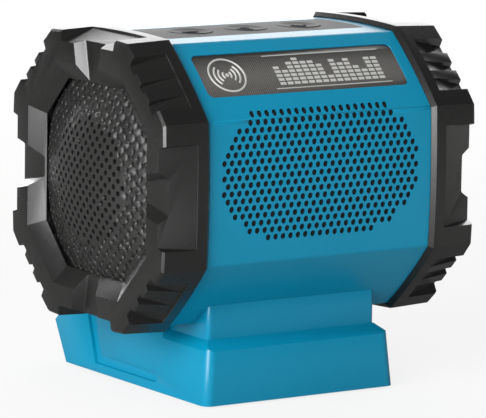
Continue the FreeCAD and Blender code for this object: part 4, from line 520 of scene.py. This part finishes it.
PANEL_PLASTIC = panel_plastic()
dress("top_panel", PANEL_PLASTIC, slot="panel_plastic", width=0.0003, crown=BARREL_SECTIONS)
for name in ("volume_down", "power", "volume_up"):
    dress(name + "_button", PANEL_PLASTIC, body=name, slot="panel_plastic", width=0.0003)


def circuit_board():
    shade = Shade(bpy.data.materials.new("circuit_board"))
    tracks = shade.node("ShaderNodeTexVoronoi", {"feature": "DISTANCE_TO_EDGE"},
                        {"Vector": shade.place(), "Scale": 380.0})
    lines = tracks < 0.06
    tone = shade.mix(lines, linear((22, 84, 50)), linear((44, 122, 74)))
    return shade.finish(base_color=tone, roughness=0.4, normal=shade.bump(lines, 0.2, 0.0001))


CIRCUIT_BOARD = circuit_board()
paint(["key_board", "main_board", "port_board"], CIRCUIT_BOARD)
paint(["key_switches"], BLACK_MOULDING)
paint(["key_board_screws", "main_board_screws", "port_board_screws"], STEEL)
paint(["heat_sink"], ALUMINIUM)
paint(["capacitors", "signal_module"], MAGNET_STEEL)


# Label: a thin plate of dark woven film in a shallow recess of the upper front slant. Its silver
# print, level bars beside a round badge with arcs, stands a little proud of the film.

LABEL_INSET = 0.0003
WEAVE_CELL = 0.00090
PRINT_SILVER = linear((222, 222, 219))
PRINT_T = 0.00014
PRINT_SINK = 0.00004
SLANT_HALF = (BARREL_HALF - BARREL_FLAT_HALF) * math.sqrt(0.5)
SLANT_REACH = (BARREL_HALF + BARREL_FLAT_HALF) * math.sqrt(0.5)
PRINT_MIDDLE = 0.0227       # from the slant's top edge down to the middle of the label
BAR_COLUMNS = 15
BAR_ROWS = 7
BAR_PITCH_X = 0.0045
BAR_PITCH_Y = 0.0026
BAR_SIZE = (0.0035, 0.0017)
BAR_MIDDLE_X = 0.0170
BAR_SEED = 11
BADGE_X = -0.0460
BADGE_R = 0.0106
ARC_WIDTH = 0.0011
PINSTRIPE_WIDTH = 0.0005
PINSTRIPE_OVER = 0.006
PINSTRIPE_GAP = 0.0036


def woven_film():
    shade = Shade(bpy.data.materials.new("woven_film"))
    parts = [shade.node("ShaderNodeSeparateXYZ", None, {0: shade.place()}, output=axis) for axis in "XYZ"]
    down = (parts[2] - parts[1]) * math.sqrt(0.5)
    turned = shade.node("ShaderNodeCombineXYZ", None, {0: parts[0] + down, 1: parts[0] - down})
    scale = 1.0 / (WEAVE_CELL * math.sqrt(2.0))
    check = shade.node("ShaderNodeTexChecker", None, {"Vector": turned, "Scale": scale}, output="Fac")
    cloud = shade.noise(420.0, 2.0)
    dark = shade.mix(cloud, linear((20, 20, 20)), linear((28, 28, 27)))
    light = shade.mix(cloud, linear((82, 81, 79)), linear((104, 102, 99)))
    return shade.finish(base_color=shade.mix(check, dark, light), roughness=check * 0.1 + 0.36,
                        normal=shade.bump(check, 0.15, 0.0002))


def silver_print():
    shade = Shade(bpy.data.materials.new("silver_print"))
    fleck = shade.noise(2400.0, 2.0)
    tone = shade.mix(fleck, PRINT_SILVER, linear((190, 190, 187)))
    return shade.finish(base_color=tone, metallic=0.35, roughness=fleck * 0.1 + 0.30)


class Tree:
    """A geometry node tree under construction, with named inputs for its sizes."""

    def __init__(self, name, sizes, material):
        self.tree = bpy.data.node_groups.new(name, "GeometryNodeTree")
        self.tree.interface.new_socket("Geometry", in_out="OUTPUT", socket_type="NodeSocketGeometry")
        self.values = dict(sizes)
        for key, value in sizes.items():
            kind = "NodeSocketInt" if isinstance(value, int) else "NodeSocketFloat"
            self.tree.interface.new_socket(key, in_out="INPUT", socket_type=kind)
        self.source = self.tree.nodes.new("NodeGroupInput")
        self.material = material

    def size(self, key):
        return self.source.outputs[key]

    def node(self, kind, settings=None, inputs=None):
        made = self.tree.nodes.new(kind)
        for key, value in (settings or {}).items():
            setattr(made, key, value)
        for key, value in (inputs or {}).items():
            if isinstance(value, bpy.types.NodeSocket):
                self.tree.links.new(value, made.inputs[key])
            else:
                made.inputs[key].default_value = value
        return made

    def math(self, operation, a, b):
        return self.node("ShaderNodeMath", {"operation": operation}, {0: a, 1: b}).outputs[0]

    def vector(self, x=0.0, y=0.0, z=0.0):
        return self.node("ShaderNodeCombineXYZ", None, {0: x, 1: y, 2: z}).outputs[0]

    def build(self, geometry):
        """Mesh of the tree's result, made at the sizes given."""
        real = self.node("GeometryNodeRealizeInstances", None, {0: geometry})
        coat = self.node("GeometryNodeSetMaterial", None,
                         {"Geometry": real.outputs[0], "Material": self.material})
        end = self.tree.nodes.new("NodeGroupOutput")
        self.tree.links.new(coat.outputs[0], end.inputs[0])
        carrier = bpy.data.objects.new(self.tree.name, bpy.data.meshes.new(self.tree.name))
        bpy.context.collection.objects.link(carrier)
        modifier = carrier.modifiers.new("tree", "NODES")
        modifier.node_group = self.tree
        for item in self.tree.interface.items_tree:
            if item.in_out == "INPUT":
                modifier[item.identifier] = self.values[item.name]
        evaluated = carrier.evaluated_get(bpy.context.evaluated_depsgraph_get())
        mesh = bpy.data.meshes.new_from_object(evaluated)
        carrier.modifiers.clear()
        carrier.data = mesh
        return carrier


def level_bars():
    """Columns of small blocks, lit up to a different height in each column."""
    tree = Tree("label_level_bars", {"Columns": BAR_COLUMNS, "Rows": BAR_ROWS, "Pitch X": BAR_PITCH_X,
                                     "Pitch Y": BAR_PITCH_Y, "Width": BAR_SIZE[0], "Height": BAR_SIZE[1],
                                     "Thickness": PRINT_T, "Seed": BAR_SEED}, SILVER_PRINT)
    wide = tree.math("MULTIPLY", tree.math("SUBTRACT", tree.size("Columns"), 1), tree.size("Pitch X"))
    tall = tree.math("MULTIPLY", tree.math("SUBTRACT", tree.size("Rows"), 1), tree.size("Pitch Y"))
    grid = tree.node("GeometryNodeMeshGrid", None,
                     {"Size X": wide, "Size Y": tall, "Vertices X": tree.size("Columns"),
                      "Vertices Y": tree.size("Rows")})
    index = tree.node("GeometryNodeInputIndex").outputs[0]
    column = tree.math("FLOOR", tree.math("DIVIDE", index, tree.size("Rows")), 0)
    row = tree.math("SUBTRACT", index, tree.math("MULTIPLY", column, tree.size("Rows")))
    chance = tree.node("FunctionNodeRandomValue", {"data_type": "FLOAT"},
                       {"ID": column, "Seed": tree.size("Seed")})
    chance.inputs[2].default_value = 1.2
    chance.inputs[3].default_value = BAR_ROWS - 0.4
    above = tree.node("FunctionNodeCompare", {"operation": "GREATER_THAN"}, {0: row, 1: chance.outputs[1]})
    lit = tree.node("GeometryNodeDeleteGeometry", {"domain": "POINT"},
                    {"Geometry": grid.outputs[0], "Selection": above.outputs[0]})
    size = tree.vector(tree.size("Width"), tree.size("Height"), tree.size("Thickness"))
    block = tree.node("GeometryNodeMeshCube", None, {"Size": size, "Vertices X": 3, "Vertices Y": 3})
    placed = tree.node("GeometryNodeInstanceOnPoints", None,
                       {"Points": lit.outputs[0], "Instance": block.outputs[0]})
    return tree.build(placed.outputs[0])


def badge():
    """Flat ring around a dot with three arcs on each side of it."""
    tree = Tree("label_badge", {"Radius": BADGE_R, "Line": ARC_WIDTH, "Arcs": 3, "Thickness": PRINT_T},
                SILVER_PRINT)
    strip = tree.node("GeometryNodeCurvePrimitiveQuadrilateral", None,
                      {"Width": tree.size("Line"), "Height": tree.size("Thickness")})
    hoop = tree.node("GeometryNodeCurvePrimitiveCircle", None, {"Resolution": 72, "Radius": tree.size("Radius")})
    ring = tree.node("GeometryNodeCurveToMesh", None,
                     {"Curve": hoop.outputs[0], "Profile Curve": strip.outputs[0]})
    arc = tree.node("GeometryNodeCurveArc", None,
                    {"Resolution": 28, "Radius": 1.0, "Start Angle": -0.80, "Sweep Angle": 1.60})
    steps = tree.node("GeometryNodeMeshLine", {"mode": "OFFSET"},
                      {"Count": tree.size("Arcs"), "Offset": (0.0, 0.0, 0.0)})
    index = tree.node("GeometryNodeInputIndex").outputs[0]
    share = tree.math("DIVIDE", tree.math("ADD", index, 1), tree.math("ADD", tree.size("Arcs"), 1.2))
    reach = tree.math("MULTIPLY", share, tree.size("Radius"))
    arcs = tree.node("GeometryNodeInstanceOnPoints", None,
                     {"Points": steps.outputs[0], "Instance": arc.outputs[0],
                      "Scale": tree.vector(reach, reach, 1.0)})
    right = tree.node("GeometryNodeRealizeInstances", None, {0: arcs.outputs[0]}).outputs[0]
    left = tree.node("GeometryNodeTransform", None,
                     {"Geometry": right, "Rotation": (0.0, 0.0, math.pi)}).outputs[0]
    waves = tree.node("GeometryNodeJoinGeometry")
    tree.tree.links.new(left, waves.inputs[0])
    tree.tree.links.new(right, waves.inputs[0])
    waves = tree.node("GeometryNodeCurveToMesh", None,
                      {"Curve": waves.outputs[0], "Profile Curve": strip.outputs[0], "Fill Caps": True})
    dot = tree.node("GeometryNodeMeshCylinder", None,
                    {"Vertices": 24, "Radius": tree.size("Line"), "Depth": tree.size("Thickness")})
    whole = tree.node("GeometryNodeJoinGeometry")
    for piece in (ring, waves, dot):
        tree.tree.links.new(piece.outputs[0], whole.inputs[0])
    return tree.build(whole.outputs[0])


def pinstripes():
    """Thin line above and below the bars."""
    tree = Tree("label_pinstripes", {"Length": BAR_COLUMNS * BAR_PITCH_X + PINSTRIPE_OVER,
                                     "Line": PINSTRIPE_WIDTH,
                                     "Spread": BAR_ROWS * BAR_PITCH_Y + PINSTRIPE_GAP,
                                     "Thickness": PRINT_T}, SILVER_PRINT)
    size = tree.vector(tree.size("Length"), tree.size("Line"), tree.size("Thickness"))
    line = tree.node("GeometryNodeMeshCube", None, {"Size": size, "Vertices X": 12})
    low = tree.math("MULTIPLY", tree.size("Spread"), -0.5)
    places = tree.node("GeometryNodeMeshLine", {"mode": "OFFSET"},
                       {"Count": 2, "Start Location": tree.vector(0.0, low, 0.0),
                        "Offset": tree.vector(0.0, tree.size("Spread"), 0.0)})
    placed = tree.node("GeometryNodeInstanceOnPoints", None,
                       {"Points": places.outputs[0], "Instance": line.outputs[0]})
    return tree.build(placed.outputs[0])


def lay_on_label(made, middle_x):
    """Bend a flat print onto the crowned film."""
    radius = (SLANT_HALF ** 2 + FACE_CROWN ** 2) / (2 * FACE_CROWN)
    out = Vector((0.0, -math.sqrt(0.5), math.sqrt(0.5)))
    down = Vector((0.0, -math.sqrt(0.5), -math.sqrt(0.5)))
    bm = bmesh.new()
    bm.from_mesh(made.data)
    bmesh.ops.remove_doubles(bm, verts=bm.verts, dist=1e-6)
    for vertex in bm.verts:
        along = PRINT_MIDDLE - vertex.co.y - SLANT_HALF
        rise = SLANT_REACH + FACE_CROWN - radius + math.sqrt(radius ** 2 - along ** 2)
        height = rise - LABEL_INSET + PRINT_T / 2 - PRINT_SINK + vertex.co.z
        vertex.co = BARREL_AXIS + Vector((middle_x + vertex.co.x, 0.0, 0.0)) + down * along + out * height
    bmesh.ops.recalc_face_normals(bm, faces=bm.faces)
    bm.to_mesh(made.data)
    bm.free()
    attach(made, "speaker")


SILVER_PRINT = silver_print()
dress("label_plate", woven_film(), slot="label_film", width=0.0001, segments=1)
lay_on_label(level_bars(), BAR_MIDDLE_X)
lay_on_label(pinstripes(), BAR_MIDDLE_X)
lay_on_label(badge(), BADGE_X)


# Sockets at the back: an audio jack and a charging outlet on a small board, under a hinged rubber
# cover with a steel pin.

paint(["audio_socket"], BLACK_MOULDING)
paint(["power_socket", "port_cover_pin"], STEEL)
dress("port_cover", SOFT_RUBBER, body="port_cover", slot="soft_rubber", width=0.0003)


# Neck and dock: blue mouldings under the barrel. The neck is screwed up into the barrel and down
# to the dock, whose side walls carry an L-shaped channel.

dress("neck", BLUE_PLASTIC, slot="blue_plastic", width=0.0004)
dress("dock_housing", BLUE_PLASTIC, slot="blue_plastic", width=0.0006)
dress("base_plate", BLACK_MOULDING, slot="black_plastic", width=0.0003)
paint(["neck_screws", "deck_screws", "base_screws"], STEEL)
dress("rubber_feet", SOFT_RUBBER, slot="soft_rubber", width=0.0005)


# Battery: a black pack that slides in from the back on rails, with five cells in a row, spring
# clips for the dock's contact blades and a sprung release button.

def plated_contact():
    shade = Shade(bpy.data.materials.new("plated_contact"))
    wear = shade.noise(700.0, 3.0)
    tone = shade.mix(wear, linear((214, 178, 96)), linear((190, 152, 78)))
    return shade.finish(base_color=tone, metallic=1.0, roughness=wear * 0.2 + 0.25)


def cell_sleeve():
    shade = Shade(bpy.data.materials.new("cell_sleeve"))
    cloud = shade.noise(50.0, 2.0)
    tone = shade.mix(cloud, linear((50, 128, 102)), linear((40, 112, 88)))
    return shade.finish(base_color=tone, roughness=cloud * 0.1 + 0.28)


CONTACT = plated_contact()
paint(["contact_blades", "battery_clips"], CONTACT)
paint(["contact_block"], BLACK_MOULDING)
dress("battery_case", BLACK_MOULDING, body="battery", slot="black_plastic", width=0.0005)
dress("battery_lid", BLACK_MOULDING, body="battery", slot="black_plastic", width=0.0004)
paint(["battery_cells"], cell_sleeve())
dress("release_button", PANEL_PLASTIC, body="release", slot="panel_plastic", width=0.0004)
paint(["release_spring"], STEEL)
